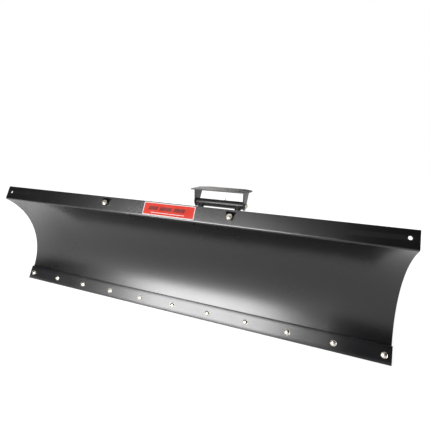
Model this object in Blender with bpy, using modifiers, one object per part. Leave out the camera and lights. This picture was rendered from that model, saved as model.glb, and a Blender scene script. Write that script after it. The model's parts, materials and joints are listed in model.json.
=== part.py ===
"""A 62 inch snow plow blade for an ATV or UTV, with its trip frame, push frame and hinge bracket.

Metres, +Z up. X runs along the blade, +Y points back to the vehicle. Everything is worked out from
the cutting edge, which touches the ground at y = z = 0, and one empty then moves the whole plow so
that the origin is on the ground under the middle of it.

The blade's own section is drawn in the land frame: w runs up along the flat that carries the wear
bar, v runs square to it towards the back, and the rake tips both back.
"""

from math import cos, pi, radians, sin, sqrt, tan

import bmesh
import bpy
from mathutils import Matrix, Vector

# ---------------------------------------------------------------- driving dimensions
GAP = 0.0003             # between pieces that touch or are welded
RUNNING = 0.0004         # round a pin in its hole, on the radius
SLACK = 0.0005           # beside plates and stops that move past each other

BLADE_LENGTH = 1.575
RAKE = radians(25)
SHEET = 0.003
ARC_RADIUS = 0.2747      # front face of the curve
ARC_SWEEP = radians(84)
STRIP_HEIGHT = 0.058
BROW_RADIUS = 0.006
SHEET_START = 0.012      # lower edge of the sheet above the cutting edge

WEAR_BAR_HEIGHT = 0.060
WEAR_BAR_THICKNESS = 0.00635
WEAR_BAR_OVERHANG = 0.0015
WEAR_BOLTS = 11
WEAR_BOLT_MARGIN = 0.0216
WEAR_BOLT_HEIGHT = 0.0277
WEAR_BOLT_RADIUS = 0.00475
WEAR_BOLT_TAIL = 0.003         # thread that shows past the nut
WEAR_HEAD_RADIUS = 0.0100
WEAR_HEAD_HEIGHT = 0.0048
WEAR_NUT_RADIUS = 0.0083
WEAR_NUT_HEIGHT = 0.0085

MARKER_HOLE_RADIUS = 0.0056
MARKER_HOLE_MARGIN = 0.0244
MARKER_HOLE_DROP = 0.025       # below the strip's upper edge

SPRING_X = 0.250
SPRING_RADIUS = 0.0145         # to the middle of the wire
SPRING_WIRE = 0.00225
SPRING_TURNS = 18
HOOK_CLEARANCE = 0.00075       # round the anchor's stud
ANCHOR_STUD_RADIUS = 0.005
ANCHOR_RISE = 0.0194           # the stud above the cross tube
ANCHOR_PLATE = 0.006
ANCHOR_BOSS = 0.013            # round end of the anchor plate
ANCHOR_SETBACK = 0.00525       # from the spring's side to the anchor plate
ANCHOR_INSET = 0.002           # of the anchor plate from the tube's edges
EYE_BOLT_HEIGHT = 0.030        # above the brow, where the bolt passes the strip
EYE_BOLT_RADIUS = 0.0055
EYE_BOLT_FRONT = 0.017
EYE_BOLT_BACK = 0.078          # strip to the centre of the eye
EYE_RADIUS = 0.011
EYE_WIRE = 0.0035
EYE_NUT_RADIUS = 0.011
EYE_NUT_HEIGHT = 0.0095
EYE_NUT_STANDOFF = 0.0026
NOTCH_DROP = 0.006             # its head below the strip's upper edge
NOTCH_HALF_WIDTH = 0.019
NOTCH_CORNER = 0.003
NOTCH_FOOT_CLEARANCE = 0.0013
BACKING_HALF = 0.024           # the plate welded behind each notch
BACKING_FOOT = 0.012           # above the brow
BACKING_PLATE = 0.002
BACKING_SLOT_CLEARANCE = 0.0008

RIB_THICKNESS = 0.006
RIB_TO_SPRING = 0.02725
INNER_RIB_DEPTH = 0.036
OUTER_RIB_DEPTH = 0.026
OUTER_RIB_INSET = 0.1905       # from the blade's end to the rib's inner face
RIB_FOOT_LAP = 0.010           # how far the ribs reach below the top of the wear bar
STIFFENER_HEIGHT = 0.200
STIFFENER_DEPTH = 0.034

TRIP_Z = 0.130
PIN_RADIUS = 0.008
HEX_RADIUS = 0.0138
HEX_HEIGHT = 0.010
BOLT_TAIL = 0.004              # thread that shows past the nut

CROSS_TUBE = 0.040
CROSS_TUBE_WALL = 0.004
CROSS_TUBE_BEHIND_TRIP = 0.148
CROSS_TUBE_Z = 0.185
RIB_STOP_DROP = 0.015          # the stop's lower end below the tube's middle
LUG_THICKNESS = 0.008
LUG_RADIUS = 0.022
LUG_CLEARANCE = 0.0016         # behind the rearmost line of the blade

KING_TUBE_RADIUS = 0.019
SWIVEL_PLATE = 0.006
TOP_PLATE_HALF, TOP_PLATE_NOSE = 0.055, 0.032
BOTTOM_PLATE_HALF, BOTTOM_PLATE_NOSE = 0.045, 0.030
TONGUE_RADIUS = 0.020
SECTOR_PLATE = 0.008
SECTOR_HALF_WIDTH = 0.112
SECTOR_NOSE = 0.045
SECTOR_NOSE_CLEARANCE = 0.0094
SECTOR_TAIL = 0.022            # behind the lock pin's holes
SECTOR_TAIL_HALF = 0.054
SECTOR_WAIST_HALF = 0.066
SWING_STEP = radians(13.5)
LOCK_RADIUS = 0.075            # lock pin from the king bolt
LOCK_PIN_RADIUS = 0.006
LOCK_HOLE_CLEARANCE = 0.0008
LOCK_TRAVEL = 0.016
LOCK_SET_LOW = 0.008           # the collar above the top plate with the pin home
LOCK_COLLAR_HEIGHT = 0.004
LOCK_TIP_RISE = 0.0009         # of the drawn pin above the sector
LOCK_HOUSING_RADIUS = 0.014
LOCK_HOUSING_WALL = 0.003
LOCK_HOUSING_HEIGHT = 0.045
LOCK_SPRING_WIRE = 0.0007
LOCK_SPRING_TURNS = 5
HANDLE_RISE = 0.010            # above the housing with the pin home
HANDLE_HALF, HANDLE_RADIUS = 0.032, 0.0045

HINGE_BEHIND_KING = 0.240
HINGE_Z = 0.370
HINGE_TUBE_RADIUS = 0.021
HINGE_TUBE_LENGTH = 0.269
ARM_RADIUS = 0.016
ARM_FRONT_X = 0.092
ARM_INSET = 0.0105             # of the arms from the hinge tube's ends
ARM_START_BEHIND_KING = 0.014
ARM_BEND_BEHIND_KING = 0.085
ARM_BEND_RADIUS = 0.045
BRACE_RADIUS = 0.010
BRACE_SHARE = 0.45             # of the way up the rising part of the arms
LIFT_TAB_THICKNESS = 0.008
LIFT_HOLE_RADIUS = 0.011
LIFT_HOLE_FORWARD, LIFT_HOLE_RISE = 0.012, 0.040
LIFT_TAB_COLLAR, LIFT_TAB_RIM = 0.010, 0.009

BRACKET_PLATE = 0.006
BRACKET_RISE = 0.070           # hinge axis to the plate's underside
BRACKET_FRONT_REACH, BRACKET_REAR_REACH = 0.040, 0.120
BRACKET_REAR_HALF = 0.110
BRACKET_EDGE = 0.0167          # plate beyond the ears
BRACKET_HOLE_RADIUS = 0.0065
BRACKET_FRONT_HOLE = 0.050, 0.030      # in from the plate's side and its front edge
BRACKET_REAR_HOLE = 0.030, 0.025       # in from the rear corner
EAR_CLEARANCE = 0.0008
EAR_THICKNESS = 0.006
EAR_BOSS = 0.026
EAR_FRONT_REACH, EAR_REAR_REACH = 0.030, 0.075

SKID_CLEARANCE = 0.0256        # from the blade's rearmost line to the shoe
SOCKET_RADIUS = 0.013
SOCKET_BOTTOM, SOCKET_TOP = 0.090, 0.140
SHOE_RADIUS = 0.055
SHOE_FLAT = 0.66               # share of the radius that rests on the ground
SHOE_RIM, SHOE_WALL = 0.014, 0.005
SHOE_STEM_RADIUS = 0.012
SHOE_SHAFT_RADIUS = 0.008
SHOE_SHAFT_TOP = 0.198
SHOE_PIN_HEIGHT = 0.186
SHOE_PIN_RADIUS = 0.003
SHOE_PIN_HALF = 0.0175
SHOE_PIN_HEAD = 0.004
WASHER_THICKNESS = 0.003
WASHER_RADIUS = 0.016

LABEL_LENGTH = 0.2045
LABEL_X = 0.0210
LABEL_FOOT = 0.0075            # above the brow
LABEL_DROP = 0.003             # below the strip's upper edge
LABEL_CORNER = 0.004
LABEL_THICKNESS = 0.0006

CUT_REACH = 0.01               # how far a cutter runs past the sheet it cuts

# ---------------------------------------------------------------- worked out from them
ALONG_X = Vector((1, 0, 0))
UPRIGHT = Vector((0, 0, 1))
BACK = Vector((0, cos(RAKE), -sin(RAKE)))          # the land frame's v
UP = Vector((0, sin(RAKE), cos(RAKE)))             # the land frame's w


def at(x, v, w):
    """The world point of a place in the blade's land frame."""
    return x * ALONG_X + v * BACK + w * UP


FACE_V = GAP                                       # front face of the sheet
ARC_V, ARC_W = FACE_V - ARC_RADIUS, WEAR_BAR_HEIGHT
BROW_V = ARC_V + ARC_RADIUS * cos(ARC_SWEEP)
BROW_W = ARC_W + ARC_RADIUS * sin(ARC_SWEEP)
OUTER_RADIUS = ARC_RADIUS + SHEET
REARMOST_Y = at(0, ARC_V, ARC_W).y + OUTER_RADIUS  # the back of the curve
NOTCH_TOP = STRIP_HEIGHT - NOTCH_DROP              # above the brow

TRIP_Y = REARMOST_Y + LUG_RADIUS + LUG_CLEARANCE
SKID_Y = REARMOST_Y + SHOE_RADIUS + SKID_CLEARANCE
CROSS_TUBE_Y = TRIP_Y + CROSS_TUBE_BEHIND_TRIP
TUBE_FRONT, TUBE_REAR = CROSS_TUBE_Y - CROSS_TUBE / 2, CROSS_TUBE_Y + CROSS_TUBE / 2
TUBE_BOTTOM, TUBE_TOP = CROSS_TUBE_Z - CROSS_TUBE / 2, CROSS_TUBE_Z + CROSS_TUBE / 2
KING_Y = TUBE_REAR + SECTOR_NOSE_CLEARANCE + SECTOR_NOSE
HINGE_Y = KING_Y + HINGE_BEHIND_KING

OUTER_RIB_X = BLADE_LENGTH / 2 - OUTER_RIB_INSET
SPRING_SIDE_X = SPRING_RADIUS + SPRING_WIRE        # half the spring's outer width
INNER_RIB_X = SPRING_X - SPRING_SIDE_X - RIB_TO_SPRING - RIB_THICKNESS
LUG_X = INNER_RIB_X - SLACK - LUG_THICKNESS
ANCHOR_PLATE_X = SPRING_X + SPRING_SIDE_X + ANCHOR_SETBACK
CROSS_TUBE_LENGTH = 2 * (ANCHOR_PLATE_X + ANCHOR_PLATE + ANCHOR_INSET)

TOP_PLATE_Z = TUBE_TOP + GAP
BOTTOM_PLATE_Z = TUBE_BOTTOM - GAP - SWIVEL_PLATE
SECTOR_TOP = TOP_PLATE_Z - 2 * GAP
SECTOR_BOTTOM = SECTOR_TOP - SECTOR_PLATE
PIN_HOLE = PIN_RADIUS + RUNNING
LOCK_Y = KING_Y + LOCK_RADIUS
LOCK_FLOOR = TOP_PLATE_Z + SWIVEL_PLATE
LOCK_ROOF = LOCK_FLOOR + GAP + LOCK_HOUSING_HEIGHT
LOCK_COLLAR = LOCK_FLOOR + LOCK_SET_LOW + LOCK_TRAVEL
LOCK_COLLAR_RADIUS = LOCK_HOUSING_RADIUS - LOCK_HOUSING_WALL - RUNNING - 0.001

BRACKET_Z = HINGE_Z + BRACKET_RISE
BRACKET_FRONT_Y, BRACKET_REAR_Y = HINGE_Y - BRACKET_FRONT_REACH, HINGE_Y + BRACKET_REAR_REACH
EAR_X = HINGE_TUBE_LENGTH / 2 + EAR_CLEARANCE
BRACKET_FRONT_HALF = EAR_X + EAR_THICKNESS + BRACKET_EDGE
ARM_REAR_X = HINGE_TUBE_LENGTH / 2 - ARM_INSET - ARM_RADIUS
SKID_X = OUTER_RIB_X + RIB_THICKNESS / 2

# The spring's line runs from the stud on the cross tube to the eye bolt's place in the strip.
HOOK_RADIUS = ANCHOR_STUD_RADIUS + SPRING_WIRE + HOOK_CLEARANCE
ANCHOR = Vector((0, CROSS_TUBE_Y, TUBE_TOP + ANCHOR_RISE))
SPRING_LINE = ANCHOR - at(0, BROW_V, BROW_W + EYE_BOLT_HEIGHT)
SPRING_SPAN = SPRING_LINE.length
SPRING_DOWN = SPRING_LINE.normalized()
SPRING_SIDE = ALONG_X.cross(SPRING_DOWN)
SPRING_BACK_TO_EYE = SPRING_SPAN - EYE_BOLT_BACK


def along_spring(x, u, n=0.0, side=0.0):
    """A point u up the spring from its lower anchor, n square to it in the YZ plane, side along X."""
    return ANCHOR - u * SPRING_DOWN + n * SPRING_SIDE + (x + side) * ALONG_X


# ---------------------------------------------------------------- scene, collections, materials
for old in list(bpy.data.objects):
    bpy.data.objects.remove(old, do_unlink=True)

plow = bpy.data.collections.new("atv_plow_blade")
cutters = bpy.data.collections.new("plow_cutters")
for collection in (plow, cutters):
    bpy.context.scene.collection.children.link(collection)


def material(name, colour, roughness, metallic):
    made = bpy.data.materials.new(name)
    made.use_nodes = True
    shader = made.node_tree.nodes["Principled BSDF"]
    shader.inputs["Base Color"].default_value = (*colour, 1)
    shader.inputs["Roughness"].default_value = roughness
    shader.inputs["Metallic"].default_value = metallic
    return made


BLACK = material("black_powder_coat", (0.020, 0.020, 0.022), 0.42, 0.0)
ZINC = material("zinc_plated_steel", (0.62, 0.61, 0.58), 0.35, 1.0)
SPRING_STEEL = material("spring_steel", (0.30, 0.30, 0.31), 0.40, 1.0)
RED_LABEL = material("red_label", (0.72, 0.04, 0.02), 0.40, 0.0)


# ---------------------------------------------------------------- ways of making a shape
def place(name, mesh, matrix, finish, cutter=False):
    """A mesh as an object: a piece of the plow, or a cutter that no render shows."""
    made = bpy.data.objects.new(name, mesh)
    made.matrix_world = matrix
    (cutters if cutter else plow).objects.link(made)
    if cutter:
        made.hide_render = True
        made.display_type = "WIRE"
    else:
        mesh.materials.clear()
        mesh.materials.append(finish)
        mesh.shade_smooth()
        mesh.set_sharp_from_angle(angle=radians(35))
    return made


def aim(origin, direction, up):
    """A matrix whose Z points along direction, with its Y as near to up as it can be."""
    z = direction.normalized()
    x = up.cross(z).normalized()
    turn = Matrix((x, z.cross(x), z)).transposed().to_4x4()
    return Matrix.Translation(origin) @ turn


def square_to(direction):
    """X or Z, whichever isn't along the direction."""
    return ALONG_X if abs(direction.normalized().x) < 0.9 else UPRIGHT


def mesh_of_curve(name, curve, matrix, finish, cutter=False):
    """The curve's evaluated mesh with its caps welded on, placed by the matrix."""
    guide = bpy.data.objects.new(name + "_guide", curve)
    bpy.context.scene.collection.objects.link(guide)
    graph = bpy.context.evaluated_depsgraph_get()
    mesh = bpy.data.meshes.new_from_object(guide.evaluated_get(graph))
    bpy.data.objects.remove(guide, do_unlink=True)
    shape = bmesh.new()
    shape.from_mesh(mesh)
    bmesh.ops.remove_doubles(shape, verts=shape.verts, dist=1e-6)
    shape.to_mesh(mesh)
    shape.free()
    return place(name, mesh, matrix, finish, cutter)


def extrusion(name, loops, start, end, up, finish=BLACK, cutter=False):
    """Flat closed outlines, an outer one and any holes, carried straight from start to end."""
    curve = bpy.data.curves.new(name, "CURVE")
    curve.dimensions = "2D"
    curve.fill_mode = "BOTH"
    curve.extrude = (end - start).length / 2
    for loop in loops:
        spline = curve.splines.new("POLY")
        spline.points.add(len(loop) - 1)
        for point, (a, b) in zip(spline.points, loop):
            point.co = (a, b, 0, 1)
        spline.use_cyclic_u = True
    return mesh_of_curve(name, curve, aim((start + end) / 2, end - start, up), finish, cutter)


def side_plate(name, loops, x_low, thickness, finish=BLACK, cutter=False):
    """A plate across X, its outlines in (y, z)."""
    ends = x_low * ALONG_X, (x_low + thickness) * ALONG_X
    return extrusion(name, loops, *ends, UPRIGHT, finish, cutter)


def level_plate(name, loops, z_low, thickness, finish=BLACK):
    """A level plate, its outlines in (x, y)."""
    ends = Vector((0, 0, z_low)), Vector((0, 0, z_low + thickness))
    return extrusion(name, loops, *ends, Vector((0, 1, 0)), finish)


def land_plate(name, loops, v_back, v_front, finish=BLACK, cutter=False):
    """A plate square to the land frame's v, its outlines in (x, w)."""
    return extrusion(name, loops, v_back * BACK, v_front * BACK, UP, finish, cutter)


def turned(name, profile, origin, direction, finish, steps=16, ring=False, cutter=False):
    """A profile of (radius, height), from the top down its outer side, turned about its height."""
    count = len(profile)
    mesh = bpy.data.meshes.new(name)
    edges = [(i, (i + 1) % count) for i in range(count if ring else count - 1)]
    mesh.from_pydata([(r, 0, h) for r, h in profile], edges, [])
    made = place(name, mesh, aim(origin, direction, square_to(direction)), finish, cutter)
    screw = made.modifiers.new("turn", "SCREW")
    screw.steps = screw.render_steps = steps
    screw.use_merge_vertices = True
    screw.merge_threshold = 1e-5
    return made


def rod(name, radius, start, end, finish, sides=16, cutter=False):
    """A straight round bar."""
    mesh = bpy.data.meshes.new(name)
    shape = bmesh.new()
    bmesh.ops.create_cone(
        shape, cap_ends=True, segments=sides, radius1=radius, radius2=radius, depth=(end - start).length,
    )
    shape.to_mesh(mesh)
    shape.free()
    direction = end - start
    return place(name, mesh, aim((start + end) / 2, direction, square_to(direction)), finish, cutter)


def wire(name, path, radius, finish, sides=2, cutter=False):
    """A round wire or pipe along a list of points, with flat ends."""
    curve = bpy.data.curves.new(name, "CURVE")
    curve.dimensions = "3D"
    curve.bevel_depth = radius
    curve.bevel_resolution = sides
    curve.use_fill_caps = True
    spline = curve.splines.new("POLY")
    spline.points.add(len(path) - 1)
    for point, place_ in zip(spline.points, path):
        point.co = (*place_, 1)
    return mesh_of_curve(name, curve, Matrix.Identity(4), finish, cutter)


def boolean(target, other, operation):
    step = target.modifiers.new(other.name, "BOOLEAN")
    step.object = other
    step.operation = operation


def circle(a, b, radius, count=16):
    angles = [2 * pi * i / count for i in range(count)]
    return [(a + radius * cos(angle), b + radius * sin(angle)) for angle in angles]


def hull(points):
    """The convex outline round a set of points, anticlockwise."""
    ordered = sorted(set((round(a, 7), round(b, 7)) for a, b in points))

    def half(run):
        chain = []
        for p in run:
            while len(chain) > 1 and (
                (chain[-1][0] - chain[-2][0]) * (p[1] - chain[-2][1])
                - (chain[-1][1] - chain[-2][1]) * (p[0] - chain[-2][0])
            ) <= 1e-12:
                chain.pop()
            chain.append(p)
        return chain[:-1]

    return half(ordered) + half(ordered[::-1])


def rectangle(a0, b0, a1, b1):
    return [(a0, b0), (a1, b0), (a1, b1), (a0, b1)]


def rounded_path(points, radius, steps=4):
    """A path of straight runs with each inner corner turned on an arc of the radius."""
    path = [points[0]]
    for before, corner, after in zip(points, points[1:], points[2:]):
        into, out = (corner - before).normalized(), (after - corner).normalized()
        turn = into.angle(out)
        reach = radius * tan(turn / 2)
        first, last = corner - into * reach, corner + out * reach
        for i in range(steps + 1):
            t = i / steps
            path.append((1 - t) ** 2 * first + 2 * t * (1 - t) * corner + t ** 2 * last)
    path.append(points[-1])
    return path


def land_yz(v, w):
    """A land frame place as (y, z)."""
    point = at(0, v, w)
    return point.y, point.z


def back_arc(angle, stand_off=0.0):
    """(y, z) on the back of the curve, the angle counted up from the land."""
    radius = OUTER_RADIUS + GAP + stand_off
    return land_yz(ARC_V + radius * cos(angle), ARC_W + radius * sin(angle))


# ---------------------------------------------------------------- the blade
def blade_profile():
    """The front face's section as (v, w): land, curve, brow bend and top strip."""
    reach = BROW_RADIUS * tan(ARC_SWEEP / 2)
    curve_end = ARC_SWEEP - reach / ARC_RADIUS
    steps = 14
    points = [(FACE_V, SHEET_START), (FACE_V, ARC_W)]
    for i in range(1, steps + 1):
        angle = curve_end * i / steps
        points.append((ARC_V + ARC_RADIUS * cos(angle), ARC_W + ARC_RADIUS * sin(angle)))
    bend_v, bend_w = BROW_V + BROW_RADIUS, BROW_W + reach
    for i in range(1, 5):
        angle = pi + ARC_SWEEP * (1 - i / 4)
        points.append((bend_v + BROW_RADIUS * cos(angle), bend_w + BROW_RADIUS * sin(angle)))
    points.append((BROW_V, BROW_W + STRIP_HEIGHT))
    return points


def wear_bolt_places():
    pitch = (BLADE_LENGTH - 2 * WEAR_BOLT_MARGIN) / (WEAR_BOLTS - 1)
    return [-BLADE_LENGTH / 2 + WEAR_BOLT_MARGIN + i * pitch for i in range(WEAR_BOLTS)]


def moldboard():
    """One sheet, rolled and bent: an open strip with its thickness on the back."""
    profile = blade_profile()
    half = BLADE_LENGTH / 2
    mesh = bpy.data.meshes.new("moldboard")
    shape = bmesh.new()
    edges = [[shape.verts.new(at(x, v, w)) for v, w in profile] for x in (-half, half)]
    for left, right, right_up, left_up in zip(edges[0], edges[1], edges[1][1:], edges[0][1:]):
        shape.faces.new((left, right, right_up, left_up))
    shape.to_mesh(mesh)
    shape.free()
    made = place("moldboard", mesh, Matrix.Identity(4), BLACK)
    wall = made.modifiers.new("wall", "SOLIDIFY")
    wall.thickness = SHEET
    wall.offset = -1
    wall.use_even_offset = True
    for i, x in enumerate(wear_bolt_places()):
        through = at(x, -CUT_REACH, WEAR_BOLT_HEIGHT), at(x, CUT_REACH, WEAR_BOLT_HEIGHT)
        hole = rod(f"wear_hole_{i + 1:02d}", WEAR_BOLT_RADIUS + RUNNING, *through, BLACK, 12, cutter=True)
        boolean(made, hole, "DIFFERENCE")
    for side in (-1, 1):
        x, w = side * (half - MARKER_HOLE_MARGIN), BROW_W + STRIP_HEIGHT - MARKER_HOLE_DROP
        through = at(x, BROW_V - CUT_REACH, w), at(x, BROW_V + CUT_REACH, w)
        hole = rod(f"marker_hole_{side}", MARKER_HOLE_RADIUS, *through, BLACK, 16, cutter=True)
        boolean(made, hole, "DIFFERENCE")
        boolean(made, notch(side), "DIFFERENCE")
        boolean(made, notch_backing(side), "UNION")
        boolean(made, backing_slot(side), "DIFFERENCE")
    return made


def notch(side):
    """The V window in the strip that the eye bolt leans in: two flanks and a round foot."""
    foot_radius = EYE_BOLT_RADIUS + NOTCH_FOOT_CLEARANCE
    centre, foot, head = side * SPRING_X, BROW_W + EYE_BOLT_HEIGHT, BROW_W + NOTCH_TOP
    outline = [(centre + foot_radius * cos(a), foot + foot_radius * sin(a))
               for a in (pi + pi * i / 8 for i in range(9))]
    wide, narrow = NOTCH_HALF_WIDTH, NOTCH_HALF_WIDTH - NOTCH_CORNER
    outline += [(centre + wide, head - NOTCH_CORNER), (centre + narrow, head)]
    outline += [(centre - narrow, head), (centre - wide, head - NOTCH_CORNER)]
    return land_plate(f"notch_{side}", [outline], BROW_V + CUT_REACH, BROW_V - CUT_REACH, BLACK, cutter=True)


def notch_backing(side):
    """The thin plate welded behind the notch, set a little into the sheet so that the two join."""
    centre, low = side * SPRING_X, BROW_W + BACKING_FOOT
    high = BROW_W + STRIP_HEIGHT - NOTCH_DROP / 2
    outline = rectangle(centre - BACKING_HALF, low, centre + BACKING_HALF, high)
    back = BROW_V + SHEET + BACKING_PLATE
    return land_plate(f"notch_backing_{side}", [outline], back, BROW_V + SHEET - GAP, BLACK, cutter=True)


def backing_slot(side):
    """The eye bolt's hole through the backing plate, along the spring's own line."""
    x, reach = side * SPRING_X, 0.012
    ends = along_spring(x, SPRING_SPAN - reach), along_spring(x, SPRING_SPAN + reach)
    radius = EYE_BOLT_RADIUS + BACKING_SLOT_CLEARANCE
    return rod(f"backing_slot_{side}", radius, *ends, BLACK, 20, cutter=True)


def wear_bar():
    half = BLADE_LENGTH / 2 + WEAR_BAR_OVERHANG
    loops = [rectangle(-half, 0, half, WEAR_BAR_HEIGHT)]
    loops += [circle(x, WEAR_BOLT_HEIGHT, WEAR_BOLT_RADIUS + RUNNING, 12) for x in wear_bolt_places()]
    return land_plate("wear_bar", loops, 0, -WEAR_BAR_THICKNESS)


def wear_bolt(number, x):
    """A round-headed carriage bolt through bar and sheet, with its nut run on."""
    seat = WEAR_BAR_THICKNESS + GAP
    nut_start = FACE_V + SHEET + GAP
    length = seat + nut_start + WEAR_NUT_HEIGHT + WEAR_BOLT_TAIL
    dome_radius = (WEAR_HEAD_RADIUS ** 2 + WEAR_HEAD_HEIGHT ** 2) / (2 * WEAR_HEAD_HEIGHT)
    profile = []
    for i in range(5):
        r = WEAR_HEAD_RADIUS * i / 4
        profile.append((r, sqrt(dome_radius ** 2 - r ** 2) - dome_radius + WEAR_HEAD_HEIGHT))
    profile += [(WEAR_BOLT_RADIUS, 0), (WEAR_BOLT_RADIUS, -length), (0, -length)]
    name = f"wear_bar_bolt_{number:02d}"
    made = turned(name, profile, at(x, -seat, WEAR_BOLT_HEIGHT), -BACK, ZINC, steps=12)
    ends = at(x, nut_start, WEAR_BOLT_HEIGHT), at(x, nut_start + WEAR_NUT_HEIGHT, WEAR_BOLT_HEIGHT)
    boolean(made, rod(name + "_nut", WEAR_NUT_RADIUS, *ends, ZINC, 6, cutter=True), "UNION")
    return made


def inner_rib(side):
    """A deep rib with the trip pivot's hole and a rear edge that stops against the cross tube."""
    front = [land_yz(FACE_V + SHEET + GAP, WEAR_BAR_HEIGHT - RIB_FOOT_LAP)]
    front += [back_arc(radians(a)) for a in range(0, 77, 4)]
    stop = TUBE_FRONT - SLACK
    rear = [back_arc(radians(a), INNER_RIB_DEPTH) for a in (76, 68, 60, 52)]
    rear += [(stop, TUBE_TOP - ANCHOR_INSET), (stop, CROSS_TUBE_Z - RIB_STOP_DROP)]
    foot = [(TRIP_Y + LUG_RADIUS * cos(a), TRIP_Z + LUG_RADIUS * sin(a))
            for a in (radians(-20 - 25 * i) for i in range(4))]
    outline = front + rear + foot
    return side_plate(side_name("rib_inner", side), [outline, circle(TRIP_Y, TRIP_Z, PIN_HOLE)],
                      low_x(side, INNER_RIB_X, RIB_THICKNESS), RIB_THICKNESS)


def outer_rib(side):
    """A rib near the blade's end that also carries the skid shoe's socket."""
    front = [land_yz(FACE_V + SHEET + GAP, WEAR_BAR_HEIGHT - RIB_FOOT_LAP)]
    front += [back_arc(radians(a)) for a in range(0, 69, 4)]
    reach = SKID_Y - SOCKET_RADIUS - GAP
    rear = [back_arc(radians(a), OUTER_RIB_DEPTH) for a in (68, 60, 52, 44)]
    rear += [(reach, SOCKET_TOP), (reach, SOCKET_BOTTOM + ANCHOR_INSET)]
    return side_plate(side_name("rib_outer", side), [front + rear],
                      low_x(side, OUTER_RIB_X, RIB_THICKNESS), RIB_THICKNESS)


def stiffener(side):
    """A flat bar on edge between the inner and the outer rib, behind the curve's rearmost line."""
    start = REARMOST_Y + GAP
    low = INNER_RIB_X + RIB_THICKNESS + GAP
    length = OUTER_RIB_X - GAP - low
    outline = rectangle(start, STIFFENER_HEIGHT, start + STIFFENER_DEPTH, STIFFENER_HEIGHT + RIB_THICKNESS)
    return side_plate(side_name("stiffener", side), [outline], low_x(side, low, length), length)


def eye_bolt(side):
    """A threaded rod with a forged eye: the rod leans in the notch and the eye takes the spring."""
    x = side * SPRING_X
    name = side_name("eye_bolt", side)
    eye_u = SPRING_BACK_TO_EYE
    ends = along_spring(x, eye_u + EYE_RADIUS - EYE_WIRE / 2), along_spring(x, SPRING_SPAN + EYE_BOLT_FRONT)
    made = rod(name, EYE_BOLT_RADIUS, *ends, ZINC, 12)
    path = [along_spring(x, eye_u + EYE_RADIUS * cos(a), 0, EYE_RADIUS * sin(a))
            for a in (2 * pi * i / 16 for i in range(17))]
    boolean(made, ring(name + "_eye", path[:-1], EYE_WIRE), "UNION")
    return made


def ring(name, path, radius):
    """A closed round ring along a cyclic path, as a cutter or a piece to join."""
    curve = bpy.data.curves.new(name, "CURVE")
    curve.dimensions = "3D"
    curve.bevel_depth = radius
    curve.bevel_resolution = 1
    spline = curve.splines.new("POLY")
    spline.points.add(len(path) - 1)
    for point, spot in zip(spline.points, path):
        point.co = (*spot, 1)
    spline.use_cyclic_u = True
    return mesh_of_curve(name, curve, Matrix.Identity(4), ZINC, cutter=True)


def eye_nut(side):
    x = side * SPRING_X
    ends = [along_spring(x, SPRING_SPAN + EYE_NUT_STANDOFF + d) for d in (0, EYE_NUT_HEIGHT)]
    loops = [circle(0, 0, EYE_NUT_RADIUS, 6), circle(0, 0, EYE_BOLT_RADIUS + GAP, 12)]
    return extrusion(side_name("eye_bolt_nut", side), loops, *ends, ALONG_X, ZINC)


def skid_socket(side):
    loops = [circle(0, 0, SOCKET_RADIUS), circle(0, 0, SHOE_SHAFT_RADIUS + RUNNING)]
    ends = [Vector((side * SKID_X, SKID_Y, z)) for z in (SOCKET_BOTTOM, SOCKET_TOP)]
    return extrusion(side_name("skid_socket", side), loops, *ends, Vector((0, 1, 0)))


def label():
    """A thin rectangular decal on the strip, its corners cut round."""
    reach = LABEL_LENGTH / 2 - LABEL_CORNER
    foot, head = BROW_W + LABEL_FOOT, BROW_W + STRIP_HEIGHT - LABEL_DROP
    corners = [(LABEL_X + s * reach, w) for s in (-1, 1) for w in (foot + LABEL_CORNER, head - LABEL_CORNER)]
    outline = hull([p for corner in corners for p in circle(*corner, LABEL_CORNER, 12)])
    return land_plate("label", [outline], BROW_V - GAP, BROW_V - GAP - LABEL_THICKNESS, RED_LABEL)


def side_name(stem, side):
    return stem + ("_right" if side > 0 else "_left")


def low_x(side, inner, width):
    """The lower X of a piece that spans inner to inner + width on one side."""
    return inner if side > 0 else -inner - width


def hex_bolt(name, start, end, finish=ZINC):
    """A bolt with a hexagon head beyond start and its nut beyond end."""
    direction = (end - start).normalized()
    tip = end + direction * (HEX_HEIGHT + BOLT_TAIL)
    made = rod(name, PIN_RADIUS, start - direction * HEX_HEIGHT / 2, tip, finish)
    head = rod(name + "_head", HEX_RADIUS, start - direction * HEX_HEIGHT, start, finish, 6, cutter=True)
    nut = rod(name + "_nut", HEX_RADIUS, end, end + direction * HEX_HEIGHT, finish, 6, cutter=True)
    boolean(made, head, "UNION")
    boolean(made, nut, "UNION")
    return made


def trip_pin(side):
    centre = Vector((0, TRIP_Y, TRIP_Z))
    outside = centre + side * (INNER_RIB_X + RIB_THICKNESS + GAP) * ALONG_X
    inside = centre + side * (LUG_X - GAP) * ALONG_X
    return hex_bolt(side_name("trip_pin", side), outside, inside)


def blade_pieces():
    pieces = [moldboard(), wear_bar(), label()]
    pieces += [wear_bolt(i + 1, x) for i, x in enumerate(wear_bolt_places())]
    for side in (-1, 1):
        pieces += [inner_rib(side), outer_rib(side), stiffener(side), eye_bolt(side), eye_nut(side)]
        pieces += [skid_socket(side), trip_pin(side)]
    return pieces


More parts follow.
